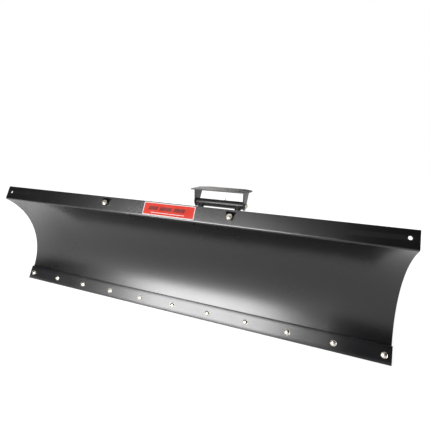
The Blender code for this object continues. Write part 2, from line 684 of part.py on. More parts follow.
# ---------------------------------------------------------------- skid shoes
def skid_shoe(side):
    """A dished foot, its stem and its shaft, turned in one piece, with a cross hole for the pin."""
    shoulder = SOCKET_BOTTOM - WASHER_THICKNESS - 2 * GAP
    flat, chamfer, fillet = SHOE_RADIUS * SHOE_FLAT, 0.001, 0.006
    profile = [(0, SHOE_SHAFT_TOP), (SHOE_SHAFT_RADIUS - chamfer, SHOE_SHAFT_TOP)]
    profile += [(SHOE_SHAFT_RADIUS, SHOE_SHAFT_TOP - chamfer), (SHOE_SHAFT_RADIUS, shoulder)]
    profile += [(SHOE_STEM_RADIUS, shoulder), (SHOE_STEM_RADIUS, SHOE_WALL + fillet)]
    profile += [(SHOE_STEM_RADIUS + fillet, SHOE_WALL), (flat, SHOE_WALL)]
    profile += [(SHOE_RADIUS - 2 * chamfer, SHOE_RIM + SHOE_WALL), (SHOE_RADIUS, SHOE_RIM + 2 * chamfer)]
    profile += [(SHOE_RADIUS * 0.94, SHOE_RIM * 0.45), (flat, 0), (0, 0)]
    name = side_name("skid_shoe", side)
    made = turned(name, profile, Vector((side * SKID_X, SKID_Y, 0)), UPRIGHT, BLACK, steps=24)
    across = [Vector((side * SKID_X + d, SKID_Y, SHOE_PIN_HEIGHT)) for d in (-SHOE_PIN_HALF, SHOE_PIN_HALF)]
    boolean(made, rod(name + "_hole", SHOE_PIN_RADIUS + GAP, *across, BLACK, 12, cutter=True), "DIFFERENCE")
    return made


def skid_washer(side):
    loops = [circle(0, 0, WASHER_RADIUS), circle(0, 0, SHOE_SHAFT_RADIUS + RUNNING)]
    foot = SOCKET_BOTTOM - GAP - WASHER_THICKNESS
    ends = [Vector((side * SKID_X, SKID_Y, z)) for z in (foot, foot + WASHER_THICKNESS)]
    return extrusion(side_name("skid_washer", side), loops, *ends, Vector((0, 1, 0)), ZINC)


def skid_pin(side):
    """A headed pin through the top of the shaft that keeps the shoe in its socket."""
    head, top = SHOE_PIN_RADIUS * 2.2, SHOE_PIN_HALF + GAP
    profile = [(0, top), (head, top), (head, top - SHOE_PIN_HEAD), (SHOE_PIN_RADIUS, top - SHOE_PIN_HEAD)]
    profile += [(SHOE_PIN_RADIUS, -SHOE_PIN_HALF), (0, -SHOE_PIN_HALF)]
    origin = Vector((side * SKID_X, SKID_Y, SHOE_PIN_HEIGHT))
    return turned(side_name("skid_pin", side), profile, origin, side * ALONG_X, ZINC, steps=12)


def skid_pieces(side):
    return [skid_shoe(side), skid_washer(side), skid_pin(side)]


# ---------------------------------------------------------------- trip springs
COIL_START = 0.022             # above the anchor's stud
COIL_TO_HOOK = 0.028           # from the last turn to the upper hook's centre
HOOK_TAIL = 0.005              # straight end of each hook
SHANK_SHIFT = 0.001            # the shanks' slight outward set


def arc_points(centre_u, start, end, steps):
    """(u, n) round a hook's centre, the angle counted from the side towards +n."""
    return [(centre_u + HOOK_RADIUS * sin(a), HOOK_RADIUS * cos(a))
            for a in (start + (end - start) * i / steps for i in range(steps + 1))]


def trip_spring(side):
    """Lower hook and coil in one wire, from the anchor stud up towards the eye."""
    hook = [(HOOK_TAIL, -HOOK_RADIUS), *arc_points(0, pi, 2 * pi, 8)]
    hook.append(((COIL_START + SPRING_WIRE) / 2, HOOK_RADIUS + SHANK_SHIFT))
    path = [along_spring(side * SPRING_X, u, n) for u, n in hook]
    steps_a_turn = 6
    steps = SPRING_TURNS * steps_a_turn
    for i in range(steps + 1):
        angle = 2 * pi * i / steps_a_turn
        u = COIL_START + (coil_end() - COIL_START) * i / steps
        path.append(along_spring(side * SPRING_X, u, SPRING_RADIUS * cos(angle), SPRING_RADIUS * sin(angle)))
    return wire(side_name("trip_spring", side), path, SPRING_WIRE, SPRING_STEEL, sides=1)


def hook_centre():
    """u of the eye's far bar, which the upper hook goes round."""
    return SPRING_BACK_TO_EYE - EYE_RADIUS


def coil_end():
    return hook_centre() - COIL_TO_HOOK


def spring_hook(side):
    """The upper end of the spring: a shank off the last turn and a hook round the eye's bar."""
    start, centre = coil_end() + 2 * SPRING_WIRE + SHANK_SHIFT, hook_centre()
    path = [(start, SPRING_RADIUS), (start + 0.006, SPRING_RADIUS - 2 * SHANK_SHIFT)]
    path += [(centre - HOOK_TAIL, HOOK_RADIUS + SHANK_SHIFT)]
    path += [*arc_points(centre, 0, pi, 8), (centre - HOOK_TAIL, -HOOK_RADIUS)]
    points = [along_spring(side * SPRING_X, u, n) for u, n in path]
    return wire(side_name("spring_hook", side), points, SPRING_WIRE, SPRING_STEEL, sides=1)


# ---------------------------------------------------------------- swivel
def cross_tube():
    half = CROSS_TUBE / 2
    inner = half - CROSS_TUBE_WALL
    y, z = CROSS_TUBE_Y, CROSS_TUBE_Z
    loops = [rectangle(y - s, z - s, y + s, z + s) for s in (half, inner)]
    return side_plate("cross_tube", loops, -CROSS_TUBE_LENGTH / 2, CROSS_TUBE_LENGTH)


def swivel_lug(side):
    """The swivel's half of the trip hinge: a plate from the cross tube to the pivot pin."""
    rear, edge = TUBE_FRONT - GAP, 0.001
    outline = hull(circle(TRIP_Y, TRIP_Z, LUG_RADIUS, 24)
                   + [(rear, TUBE_BOTTOM + edge), (rear, TUBE_TOP - edge)])
    return side_plate(side_name("swivel_lug", side), [outline, circle(TRIP_Y, TRIP_Z, PIN_HOLE)],
                      low_x(side, LUG_X, LUG_THICKNESS), LUG_THICKNESS)


def spring_anchor(side):
    """A plate on the cross tube's end with the stud that the spring's lower hook goes round."""
    name = side_name("spring_anchor", side)
    base = TUBE_TOP + GAP
    outline = hull(circle(ANCHOR.y, ANCHOR.z, ANCHOR_BOSS)
                   + [(TUBE_FRONT + ANCHOR_INSET, base), (TUBE_REAR - ANCHOR_INSET, base)])
    made = side_plate(name, [outline], low_x(side, ANCHOR_PLATE_X, ANCHOR_PLATE), ANCHOR_PLATE)
    reach = ANCHOR_PLATE_X + ANCHOR_PLATE / 2, SPRING_X - SPRING_SIDE_X
    ends = [Vector((side * x, ANCHOR.y, ANCHOR.z)) for x in reach]
    boolean(made, rod(name + "_stud", ANCHOR_STUD_RADIUS, *ends, BLACK, 12, cutter=True), "UNION")
    return made


def swivel_plates():
    """The top plate, with a tongue back to the lock pin, and the shorter bottom plate."""
    top = hull([(s * TOP_PLATE_HALF, y) for s in (-1, 1) for y in (TUBE_FRONT, TUBE_REAR)]
               + circle(0, KING_Y, TOP_PLATE_NOSE, 24) + circle(0, LOCK_Y, TONGUE_RADIUS))
    holes = [circle(0, KING_Y, PIN_HOLE), circle(0, LOCK_Y, LOCK_PIN_RADIUS + RUNNING, 12)]
    bottom = hull([(s * BOTTOM_PLATE_HALF, y) for s in (-1, 1) for y in (TUBE_FRONT, TUBE_REAR)]
                  + circle(0, KING_Y, BOTTOM_PLATE_NOSE, 24))
    loops = [bottom, circle(0, KING_Y, PIN_HOLE)]
    return [
        level_plate("swivel_top_plate", [top, *holes], TOP_PLATE_Z, SWIVEL_PLATE),
        level_plate("swivel_bottom_plate", loops, BOTTOM_PLATE_Z, SWIVEL_PLATE),
    ]


def king_bolt():
    head = Vector((0, KING_Y, LOCK_FLOOR + GAP))
    nut = Vector((0, KING_Y, BOTTOM_PLATE_Z - GAP))
    return hex_bolt("king_bolt", head, nut)


def lock_housing():
    """A cup over the lock pin's hole, open below, that holds the pin's spring."""
    foot = LOCK_FLOOR + GAP
    outer, bore = LOCK_HOUSING_RADIUS, LOCK_HOUSING_RADIUS - LOCK_HOUSING_WALL
    neck, under = LOCK_PIN_RADIUS + RUNNING, LOCK_ROOF - LOCK_HOUSING_WALL
    profile = [(neck, LOCK_ROOF), (outer, LOCK_ROOF), (outer, foot)]
    profile += [(bore, foot), (bore, under), (neck, under)]
    return turned("lock_housing", profile, Vector((0, LOCK_Y, 0)), UPRIGHT, BLACK, ring=True)


def swivel_pieces():
    pieces = [cross_tube(), *swivel_plates(), king_bolt(), lock_housing()]
    for side in (-1, 1):
        pieces += [swivel_lug(side), spring_anchor(side)]
    return pieces


def lock_pin():
    """The pin, drawn up out of the sector, with its collar and a cross handle."""
    handle = LOCK_ROOF + LOCK_TRAVEL + HANDLE_RISE
    top, tip, chamfer = handle + 0.008, SECTOR_TOP + LOCK_TIP_RISE, 0.001
    collar_top = LOCK_COLLAR + LOCK_COLLAR_HEIGHT
    profile = [(0, top), (LOCK_PIN_RADIUS, top), (LOCK_PIN_RADIUS, collar_top)]
    profile += [(LOCK_COLLAR_RADIUS, collar_top), (LOCK_COLLAR_RADIUS, LOCK_COLLAR)]
    profile.append((LOCK_PIN_RADIUS, LOCK_COLLAR))
    profile += [(LOCK_PIN_RADIUS, tip + chamfer), (LOCK_PIN_RADIUS - chamfer, tip), (0, tip)]
    made = turned("lock_pin", profile, Vector((0, LOCK_Y, 0)), UPRIGHT, ZINC, steps=12)
    ends = [Vector((x, LOCK_Y, handle)) for x in (-HANDLE_HALF, HANDLE_HALF)]
    boolean(made, rod("lock_handle", HANDLE_RADIUS, *ends, ZINC, 12, cutter=True), "UNION")
    return made


def lock_spring():
    """The compressed coil between the pin's collar and the housing's roof."""
    radius = LOCK_COLLAR_RADIUS - LOCK_SPRING_WIRE - RUNNING
    low = LOCK_COLLAR + LOCK_COLLAR_HEIGHT + GAP + LOCK_SPRING_WIRE
    high = LOCK_ROOF - LOCK_HOUSING_WALL - GAP - LOCK_SPRING_WIRE
    path, steps_a_turn = [], 8
    steps = LOCK_SPRING_TURNS * steps_a_turn
    for i in range(steps + 1):
        angle, height = 2 * pi * i / steps_a_turn, low + (high - low) * i / steps
        path.append(Vector((radius * cos(angle), LOCK_Y + radius * sin(angle), height)))
    return wire("lock_spring", path, LOCK_SPRING_WIRE, SPRING_STEEL, sides=1)


# ---------------------------------------------------------------- push frame
def sector_plate():
    """The plate that the swivel turns on, with five holes for the lock pin.

    Its wings lie on the arms and end where the arms start to rise."""
    angles = [pi + pi * i / 10 for i in range(11)]
    nose = [(SECTOR_NOSE * cos(a), KING_Y + SECTOR_NOSE * sin(a)) for a in angles]
    wing, front = SECTOR_HALF_WIDTH, ARM_START.y - 0.002
    rise_start, clear = rounded_path(arm_path(1), ARM_BEND_RADIUS)[1].y, 0.003
    half = [(wing, front), (wing, rise_start - clear), (SECTOR_WAIST_HALF, rise_start + clear)]
    half.append((SECTOR_TAIL_HALF, LOCK_Y + SECTOR_TAIL))
    outline = nose + half + [(-x, y) for x, y in half[::-1]]
    holes = [circle(0, KING_Y, PIN_HOLE)]
    for i in (-2, -1, 0, 1, 2):
        x, y = LOCK_RADIUS * sin(i * SWING_STEP), KING_Y + LOCK_RADIUS * cos(i * SWING_STEP)
        holes.append(circle(x, y, LOCK_PIN_RADIUS + LOCK_HOLE_CLEARANCE, 12))
    return level_plate("sector_plate", [outline, *holes], SECTOR_BOTTOM, SECTOR_PLATE)


def king_tube():
    ends = Vector((0, KING_Y, TUBE_BOTTOM + GAP)), Vector((0, KING_Y, SECTOR_BOTTOM - GAP))
    loops = [circle(0, 0, KING_TUBE_RADIUS), circle(0, 0, PIN_HOLE)]
    return extrusion("king_tube", loops, *ends, Vector((0, 1, 0)))


ARM_LEVEL = SECTOR_BOTTOM - GAP - ARM_RADIUS
ARM_START = Vector((ARM_FRONT_X, KING_Y + ARM_START_BEHIND_KING, ARM_LEVEL))
ARM_BEND = Vector((ARM_FRONT_X, KING_Y + ARM_BEND_BEHIND_KING, ARM_LEVEL))
ARM_END = Vector((ARM_REAR_X, HINGE_Y, HINGE_Z))


def arm_path(side):
    return [Vector((side * p.x, p.y, p.z)) for p in (ARM_START, ARM_BEND, ARM_END)]


def side_arm(side):
    """A bent pipe under the sector's wing that rises to the hinge tube and is coped round it."""
    path = rounded_path(arm_path(side), ARM_BEND_RADIUS)
    made = wire(side_name("side_arm", side), path, ARM_RADIUS, BLACK, sides=3)
    ends = [Vector((side * (ARM_REAR_X + d), HINGE_Y, HINGE_Z)) for d in (-3 * ARM_RADIUS, 3 * ARM_RADIUS)]
    name = side_name("arm_cope", side)
    boolean(made, rod(name, HINGE_TUBE_RADIUS + GAP, *ends, BLACK, 24, cutter=True), "DIFFERENCE")
    return made


def hinge_tube():
    y, z = HINGE_Y, HINGE_Z
    loops = [circle(y, z, HINGE_TUBE_RADIUS, 24), circle(y, z, PIN_HOLE)]
    return side_plate("hinge_tube", loops, -HINGE_TUBE_LENGTH / 2, HINGE_TUBE_LENGTH)


BRACE = ARM_BEND.lerp(ARM_END, BRACE_SHARE)


def cross_brace():
    """A round bar between the arms, its ends just clear of them for the weld."""
    half = BRACE.x - ARM_RADIUS - 0.0008
    return rod("cross_brace", BRACE_RADIUS, *[Vector((x, BRACE.y, BRACE.z)) for x in (-half, half)], BLACK)


def lift_tab():
    """The plate on the cross brace whose hole takes the winch hook."""
    hole = BRACE.y - LIFT_HOLE_FORWARD, BRACE.z + LIFT_HOLE_RISE
    outline = hull(circle(BRACE.y, BRACE.z, BRACE_RADIUS + LIFT_TAB_COLLAR)
                   + circle(*hole, LIFT_HOLE_RADIUS + LIFT_TAB_RIM))
    loops = [outline, circle(BRACE.y, BRACE.z, BRACE_RADIUS + GAP), circle(*hole, LIFT_HOLE_RADIUS)]
    return side_plate("lift_tab", loops, -LIFT_TAB_THICKNESS / 2, LIFT_TAB_THICKNESS)


def push_frame_pieces():
    pieces = [sector_plate(), king_tube(), hinge_tube(), cross_brace(), lift_tab()]
    return pieces + [side_arm(-1), side_arm(1)]


# ---------------------------------------------------------------- hinge bracket on the vehicle
def bracket_plate():
    """A plate with straight sides over the ears and cut rear corners, and four bolt holes."""
    corner = HINGE_Y + EAR_REAR_REACH + 0.004
    half = [(BRACKET_FRONT_HALF, BRACKET_FRONT_Y), (BRACKET_FRONT_HALF, corner)]
    half.append((BRACKET_REAR_HALF, BRACKET_REAR_Y))
    outline = half + [(-x, y) for x, y in half[::-1]]
    front, rear = BRACKET_FRONT_HOLE, BRACKET_REAR_HOLE
    places = [(BRACKET_FRONT_HALF - front[0], BRACKET_FRONT_Y + front[1])]
    places += [(BRACKET_REAR_HALF - rear[0], BRACKET_REAR_Y - rear[1])]
    holes = [circle(s * x, y, BRACKET_HOLE_RADIUS) for s in (-1, 1) for x, y in places]
    return level_plate("bracket_plate", [outline, *holes], BRACKET_Z, BRACKET_PLATE)


def bracket_ear(side):
    top = BRACKET_Z - GAP
    outline = hull(circle(HINGE_Y, HINGE_Z, EAR_BOSS, 24)
                   + [(HINGE_Y - EAR_FRONT_REACH, top), (HINGE_Y + EAR_REAR_REACH, top)])
    return side_plate(side_name("bracket_ear", side), [outline, circle(HINGE_Y, HINGE_Z, PIN_HOLE)],
                      low_x(side, EAR_X, EAR_THICKNESS), EAR_THICKNESS)


def lift_bolt():
    reach = EAR_X + EAR_THICKNESS + GAP
    return hex_bolt("lift_bolt", Vector((-reach, HINGE_Y, HINGE_Z)), Vector((reach, HINGE_Y, HINGE_Z)))


# ---------------------------------------------------------------- assembly
def joint_empty(name, spot, parent=None):
    made = bpy.data.objects.new(name, None)
    made.empty_display_size = 0.03
    plow.objects.link(made)
    made.location = spot
    bpy.context.view_layer.update()
    if parent:
        keep_place(made, parent)
    return made


def keep_place(child, parent):
    """Parent a piece without moving it."""
    child.parent = parent
    child.matrix_parent_inverse = parent.matrix_world.inverted()
    bpy.context.view_layer.update()


def build():
    datum = joint_empty("cutting_edge_datum", Vector((0, 0, 0)))
    lift = joint_empty("lift_axis", Vector((0, HINGE_Y, HINGE_Z)), datum)
    swing = joint_empty("swing_axis", Vector((0, KING_Y, CROSS_TUBE_Z)), lift)
    trip = joint_empty("trip_axis", Vector((0, TRIP_Y, TRIP_Z)), swing)
    lock = joint_empty("lock_axis", Vector((0, LOCK_Y, SECTOR_TOP)), swing)
    groups = [
        (datum, [bracket_plate(), bracket_ear(-1), bracket_ear(1), lift_bolt()]),
        (lift, push_frame_pieces()),
        (swing, swivel_pieces()),
        (trip, blade_pieces()),
        (lock, [lock_pin(), lock_spring()]),
    ]
    for side in (-1, 1):
        shoe = Vector((side * SKID_X, SKID_Y, SOCKET_BOTTOM))
        groups.append((joint_empty(side_name("skid_axis", side), shoe, trip), skid_pieces(side)))
        spring = joint_empty(side_name("spring_axis", side), along_spring(side * SPRING_X, 0), swing)
        groups.append((spring, [trip_spring(side)]))
        eye = along_spring(side * SPRING_X, hook_centre())
        stretch = joint_empty(side_name("hook_axis", side), eye, spring)
        groups.append((stretch, [spring_hook(side)]))
    for parent, pieces in groups:
        for piece in pieces:
            keep_place(piece, parent)
    for cutter in cutters.objects:
        keep_place(cutter, datum)
    front = along_spring(0, SPRING_SPAN + EYE_BOLT_FRONT, -EYE_BOLT_RADIUS).y
    datum.location.y = -(front + BRACKET_REAR_Y) / 2
    bpy.context.view_layer.update()


build()
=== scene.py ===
# %% [markdown]
# # The looks of an ATV plow blade
#
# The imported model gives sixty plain, exact pieces and the bodies they move with. This script keeps
# their places and sizes, and builds the surface that a person sees: a rolled and powder coated sheet,
# close-wound springs, threaded bolts, weld beads, and the studio around them. Each cell says what a
# piece is on the real plow, how it could be made in Blender, and why it is made the way it is here.

# %% Load the frame
import json

import bmesh
import bpy
import numpy as np
from mathutils import Matrix, Vector


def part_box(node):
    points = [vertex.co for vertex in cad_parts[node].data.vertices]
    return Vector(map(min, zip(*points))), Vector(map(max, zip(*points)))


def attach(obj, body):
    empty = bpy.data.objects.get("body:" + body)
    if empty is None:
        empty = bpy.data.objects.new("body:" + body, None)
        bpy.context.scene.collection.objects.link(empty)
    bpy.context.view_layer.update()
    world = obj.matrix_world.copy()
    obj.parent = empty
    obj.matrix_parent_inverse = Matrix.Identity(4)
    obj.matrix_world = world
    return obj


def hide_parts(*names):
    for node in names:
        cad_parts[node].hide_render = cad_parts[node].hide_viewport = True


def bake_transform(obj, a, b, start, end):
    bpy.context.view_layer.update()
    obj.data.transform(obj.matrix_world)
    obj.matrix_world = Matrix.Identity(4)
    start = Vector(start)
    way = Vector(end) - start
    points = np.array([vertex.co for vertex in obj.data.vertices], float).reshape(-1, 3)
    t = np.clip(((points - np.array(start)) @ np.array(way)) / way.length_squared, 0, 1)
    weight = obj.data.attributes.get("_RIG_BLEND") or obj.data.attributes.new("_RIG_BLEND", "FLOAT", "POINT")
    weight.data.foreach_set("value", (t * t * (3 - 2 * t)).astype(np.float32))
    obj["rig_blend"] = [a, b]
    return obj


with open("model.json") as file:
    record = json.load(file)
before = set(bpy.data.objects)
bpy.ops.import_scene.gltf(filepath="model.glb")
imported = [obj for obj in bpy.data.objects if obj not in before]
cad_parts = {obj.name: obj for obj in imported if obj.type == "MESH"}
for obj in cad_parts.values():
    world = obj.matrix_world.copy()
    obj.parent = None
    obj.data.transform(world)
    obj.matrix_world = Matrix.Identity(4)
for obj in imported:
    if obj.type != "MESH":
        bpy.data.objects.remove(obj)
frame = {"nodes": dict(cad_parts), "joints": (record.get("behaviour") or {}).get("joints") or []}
joints = {joint["name"]: joint for joint in frame["joints"]}
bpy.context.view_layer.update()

# %% [markdown]
# ## The blade's own axes
#
# The blade leans back by its rake, so its sheet is easiest to draw in a leaning frame: x runs along
# the blade, w climbs along the flat that carries the wear bar, and v is square to it, towards the
# vehicle. The wear bar's CAD box says where that frame starts, because its lower back edge is the
# cutting edge, where v and w are both nought.

# %% The leaning frame
GAP = 0.0003
RAKE = np.radians(25)
BACK = np.array([0, np.cos(RAKE), -np.sin(RAKE)])
UP = np.array([0, np.sin(RAKE), np.cos(RAKE)])
ALONG_X, UPRIGHT = np.array([1.0, 0, 0]), np.array([0, 0, 1.0])
SIDES = ("left", -1), ("right", 1)


def box_of(node_name):
    """The lowest and highest corners of a CAD node, as arrays."""
    return [np.array(corner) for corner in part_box(node_name)]


def middle_of(node_name):
    return sum(box_of(node_name)) / 2


BAR_HEIGHT, BAR_THICKNESS = 0.060, 0.00635
bar_low = box_of("wear_bar")[0]
EDGE = np.array([0, bar_low[1] + BAR_THICKNESS * np.cos(RAKE), bar_low[2]])


def at(x, v, w):
    """Points from places in the leaning frame: edge + x along + v back + w up. Arrays broadcast."""
    x, v, w = np.broadcast_arrays(x, v, w)
    return EDGE + x[..., None] * ALONG_X + v[..., None] * BACK + w[..., None] * UP


print("cutting edge at", EDGE.round(4))

# %% [markdown]
# ## Small helpers
#
# Nodes are wired by hand in Blender's editor, and by one line each here. A value that is a socket is
# joined, and any other value is set on the node's own socket, so one call reads like one node.

# %% Objects and nodes


def placed(name, data):
    """An object of this data, linked to the scene."""
    made = bpy.data.objects.new(name, data)
    bpy.context.scene.collection.objects.link(made)
    return made


def feed(tree, socket, value):
    """Joins a socket to another one, or sets its own value. A colour has three numbers."""
    if isinstance(value, bpy.types.NodeSocket):
        tree.links.new(value, socket)
    else:
        socket.default_value = (*value, 1) if socket.type == "RGBA" else value


def node(tree, kind, *inputs, **settings):
    """A new node: its first inputs in order, then its properties or its other inputs by name."""
    made = tree.nodes.new("ShaderNode" + kind)
    for socket, value in zip(made.inputs, inputs):
        feed(tree, socket, value)
    for name, value in settings.items():
        if hasattr(made, name):
            setattr(made, name, value)
        else:
            feed(tree, made.inputs[name.replace("_", " ").title()], value)
    return made


def maths(tree, operation, *values, clamp=False):
    return node(tree, "Math", *values, operation=operation, use_clamp=clamp).outputs[0]


def times(tree, a, b, clamp=False):
    return maths(tree, "MULTIPLY", a, b, clamp=clamp)


def sloped(tree, value, slope, start, clamp=False):
    """value x slope + start."""
    return maths(tree, "MULTIPLY_ADD", value, slope, start, clamp=clamp)


def blend(tree, share, first, second):
    """A colour mix of two sockets or colours by a share socket."""
    made = node(tree, "Mix", share, data_type="RGBA")
    feed(tree, made.inputs[6], first)
    feed(tree, made.inputs[7], second)
    return made.outputs[2]


def noise(tree, where, scale, detail=2.0, stretch=None):
    """Noise on a vector socket, its scale a number or a socket, in lumps per metre."""
    if stretch is not None:
        where = node(tree, "Mapping", where, scale=stretch).outputs[0]
    return node(tree, "TexNoise", where, scale=scale, detail=detail).outputs[0]


# %% [markdown]
# ## The studio
#
# The part stands on a pale floor under four soft lights: a big softbox low in front, which paints the
# long white reflection on the foot of the blade, a wide one overhead, and two weaker ones behind it.
# Area lights are the simplest way to get soft edges. Lamps that a turned view could see are hidden
# from the camera, which takes nothing away from their light.

# %% Camera
STAND = EDGE + np.array([0.5365, -0.9910, 0.6394])
YAW, PITCH, ROLL = np.radians([20.178, 11.629, 2.33])
LENS = 25.16

forward = np.array([-np.sin(YAW) * np.cos(PITCH), np.cos(YAW) * np.cos(PITCH), -np.sin(PITCH)])
level = np.array([np.cos(YAW), np.sin(YAW), 0])
above = np.cross(level, forward)
right = np.cos(ROLL) * level + np.sin(ROLL) * above
upward = np.cos(ROLL) * above - np.sin(ROLL) * level

camera = placed("camera", bpy.data.cameras.new("camera"))
camera.data.lens = LENS
camera.data.clip_start = 0.05
turn = Matrix((right, upward, -forward)).transposed().to_4x4()
camera.matrix_world = Matrix.Translation(STAND) @ turn
bpy.context.scene.camera = camera
bpy.context.scene.view_settings.view_transform = "Standard"

# %% Lights


def softbox(name, azimuth, elevation, distance, size, radiance, colour):
    """An area light that faces the cutting edge, seen from it at an azimuth from -Y towards +X."""
    a, e = np.radians([azimuth, elevation])
    towards = np.array([np.sin(a) * np.cos(e), -np.cos(a) * np.cos(e), np.sin(e)])
    lamp = bpy.data.lights.new(name, "AREA")
    lamp.shape = "RECTANGLE"
    lamp.size, lamp.size_y = size
    lamp.color = colour
    lamp.energy = radiance * np.pi * size[0] * size[1]
    made = placed(name, lamp)
    made.location = Vector(EDGE) + distance * Vector(towards)
    made.rotation_mode = "QUATERNION"
    made.rotation_quaternion = Vector(towards).to_track_quat("Z", "Y")
    made.visible_camera = False


softbox("key_softbox", -17, 20, 2.60, (1.80, 1.50), 23.0, (1.0, 0.99, 1.0))
softbox("overhead_softbox", 0, 88, 2.6, (3.0, 2.4), 1.1, (1.0, 0.98, 0.96))
softbox("rim_softbox", 140, 30, 3.0, (1.8, 1.2), 3.5, (0.96, 0.98, 1.0))
softbox("rear_softbox", 215, 35, 3.2, (2.2, 1.4), 4.0, (1.0, 0.98, 0.96))
print("lights", len(bpy.data.lights))

# %% [markdown]
# The background is plain white where it is seen and dim where it is felt. A Light Path node tells the
# camera's rays from those that light the plow.

# %% Background and floor
world = bpy.data.worlds.new("studio")
bpy.context.scene.world = world
world.use_nodes = True
tree = world.node_tree
tree.nodes.clear()
seen = node(tree, "Background", (1, 1, 1))
felt = node(tree, "Background", (0.95, 0.97, 1.0), 0.06)
camera_ray = node(tree, "LightPath").outputs["Is Camera Ray"]
mix = node(tree, "MixShader", camera_ray, felt.outputs[0], seen.outputs[0])
node(tree, "OutputWorld", mix.outputs[0])

FLOOR_HALF, FLOOR_DROP = 9.0, 0.0005
floor_mesh = bpy.data.meshes.new("floor")
floor_mesh.from_pydata([(s * FLOOR_HALF, t * FLOOR_HALF, 0) for s, t in ((-1, -1), (1, -1), (1, 1), (-1, 1))],
                       [], [(0, 1, 2, 3)])
floor = placed("floor", floor_mesh)
floor.location.z = -FLOOR_DROP
print("floor", 2 * FLOOR_HALF, "m wide")

# %% [markdown]
# ## Finishes
#
# Powder coat is sprayed as dry powder and baked, so it flows into a fine orange peel, a little rougher
# here and there. Three effects come back in several finishes, so each is a node group, built once:
# *grain* gives the height and the unevenness of a sprayed or plated surface, *edge wear* finds convex
# edges by comparing the true normal with one rounded over a small radius, and *dust* settles on faces
# that look up. The groups give out values and masks only. The shader stays in each material.

# %% Shared effects


def group(name, inputs, make):
    """A node group with a vector input Where, float inputs {name: value}, and the outputs of make."""
    tree = bpy.data.node_groups.new(name, "ShaderNodeTree")
    tree.interface.new_socket("Where", in_out="INPUT", socket_type="NodeSocketVector")
    for title, value in inputs.items():
        tree.interface.new_socket(title, in_out="INPUT", socket_type="NodeSocketFloat").default_value = value
    results = make(tree, tree.nodes.new("NodeGroupInput").outputs)
    for title in results:
        tree.interface.new_socket(title, in_out="OUTPUT", socket_type="NodeSocketFloat")
    outside = tree.nodes.new("NodeGroupOutput")
    for title, socket in results.items():
        tree.links.new(socket, outside.inputs[title])
    return tree


def grain_nodes(tree, given):
    """Height: fine lumps plus a slow swell. Uneven: slow clouds from 0 to 1."""
    where, lumps = given["Where"], given["Lumps"]
    fine, slow = noise(tree, where, lumps), noise(tree, where, times(tree, lumps, 0.17), 3.0)
    height = maths(tree, "ADD", times(tree, fine, 0.6), times(tree, slow, 0.4))
    uneven = sloped(tree, noise(tree, where, given["Cloud"], 5.0), 2.0, -0.5, True)
    return {"Height": height, "Uneven": uneven}


def edge_wear_nodes(tree, given):
    """Worn: how far the rounded normal turns from the true one, broken up by noise, from 0 to 1."""
    rounded = node(tree, "Bevel", given["Radius"], samples=4).outputs[0]
    true = node(tree, "NewGeometry").outputs["Normal"]
    same = node(tree, "VectorMath", rounded, true, operation="DOT_PRODUCT").outputs["Value"]
    turned_by = times(tree, maths(tree, "SUBTRACT", 1.0, same), 5.0)
    patchy = maths(tree, "SUBTRACT", noise(tree, given["Where"], 55.0, 6.0), 0.42)
    return {"Worn": times(tree, times(tree, turned_by, patchy), times(tree, given["Amount"], 8.0), True)}


def dust_nodes(tree, given):
    """Dust: how much a face looks up, times clouds, from 0 to Amount."""
    normal = node(tree, "SeparateXYZ", node(tree, "NewGeometry").outputs["Normal"])
    looks_up = sloped(tree, normal.outputs["Z"], 1.4, -0.5, True)
    cloud = sloped(tree, noise(tree, given["Where"], 23.0, 6.0), 2.2, -0.7, True)
    return {"Dust": times(tree, times(tree, looks_up, cloud), given["Amount"])}


GRAIN = group("grain", {"Lumps": 700.0, "Cloud": 6.0}, grain_nodes)
EDGE_WEAR = group("edge_wear", {"Radius": 0.0015, "Amount": 1.0}, edge_wear_nodes)
DUST = group("dust", {"Amount": 0.3}, dust_nodes)
print("shared effects", len(bpy.data.node_groups))

# %% [markdown]
# One function mixes every metal and paint here, because they differ only in their numbers: two tones
# that drift in clouds, a roughness that drifts with them, dust that dulls, edges worn to primer or
# steel, and a foot that is rubbed bright where it meets the ground. Height above the ground decides
# where that rubbing starts, and stretched noise draws its scratches.

# %% Finishes


def use(tree, group_tree, where, **values):
    """A placed group with its own values, reading the given coordinates."""
    made = node(tree, "Group", node_tree=group_tree)
    tree.links.new(where, made.inputs["Where"])
    for name, value in values.items():
        made.inputs[name.title()].default_value = value
    return made.outputs


def start_material(name, **sockets):
    """A material, its tree, its shader with plain values set on its own sockets, and its coordinates."""
    made = bpy.data.materials.new(name)
    made.use_nodes = True
    tree = made.node_tree
    shader = tree.nodes["Principled BSDF"]
    for title, value in sockets.items():
        feed(tree, shader.inputs[title.replace("_", " ").title().replace("Ior", "IOR")], value)
    return made, tree, shader, node(tree, "TexCoord").outputs["Object"]


def raised(tree, height, depth):
    """A normal from a height socket, whose full swing is depth in metres."""
    made = node(tree, "Bump", distance=depth, strength=1.0)
    tree.links.new(height, made.inputs["Height"])
    return made.outputs[0]


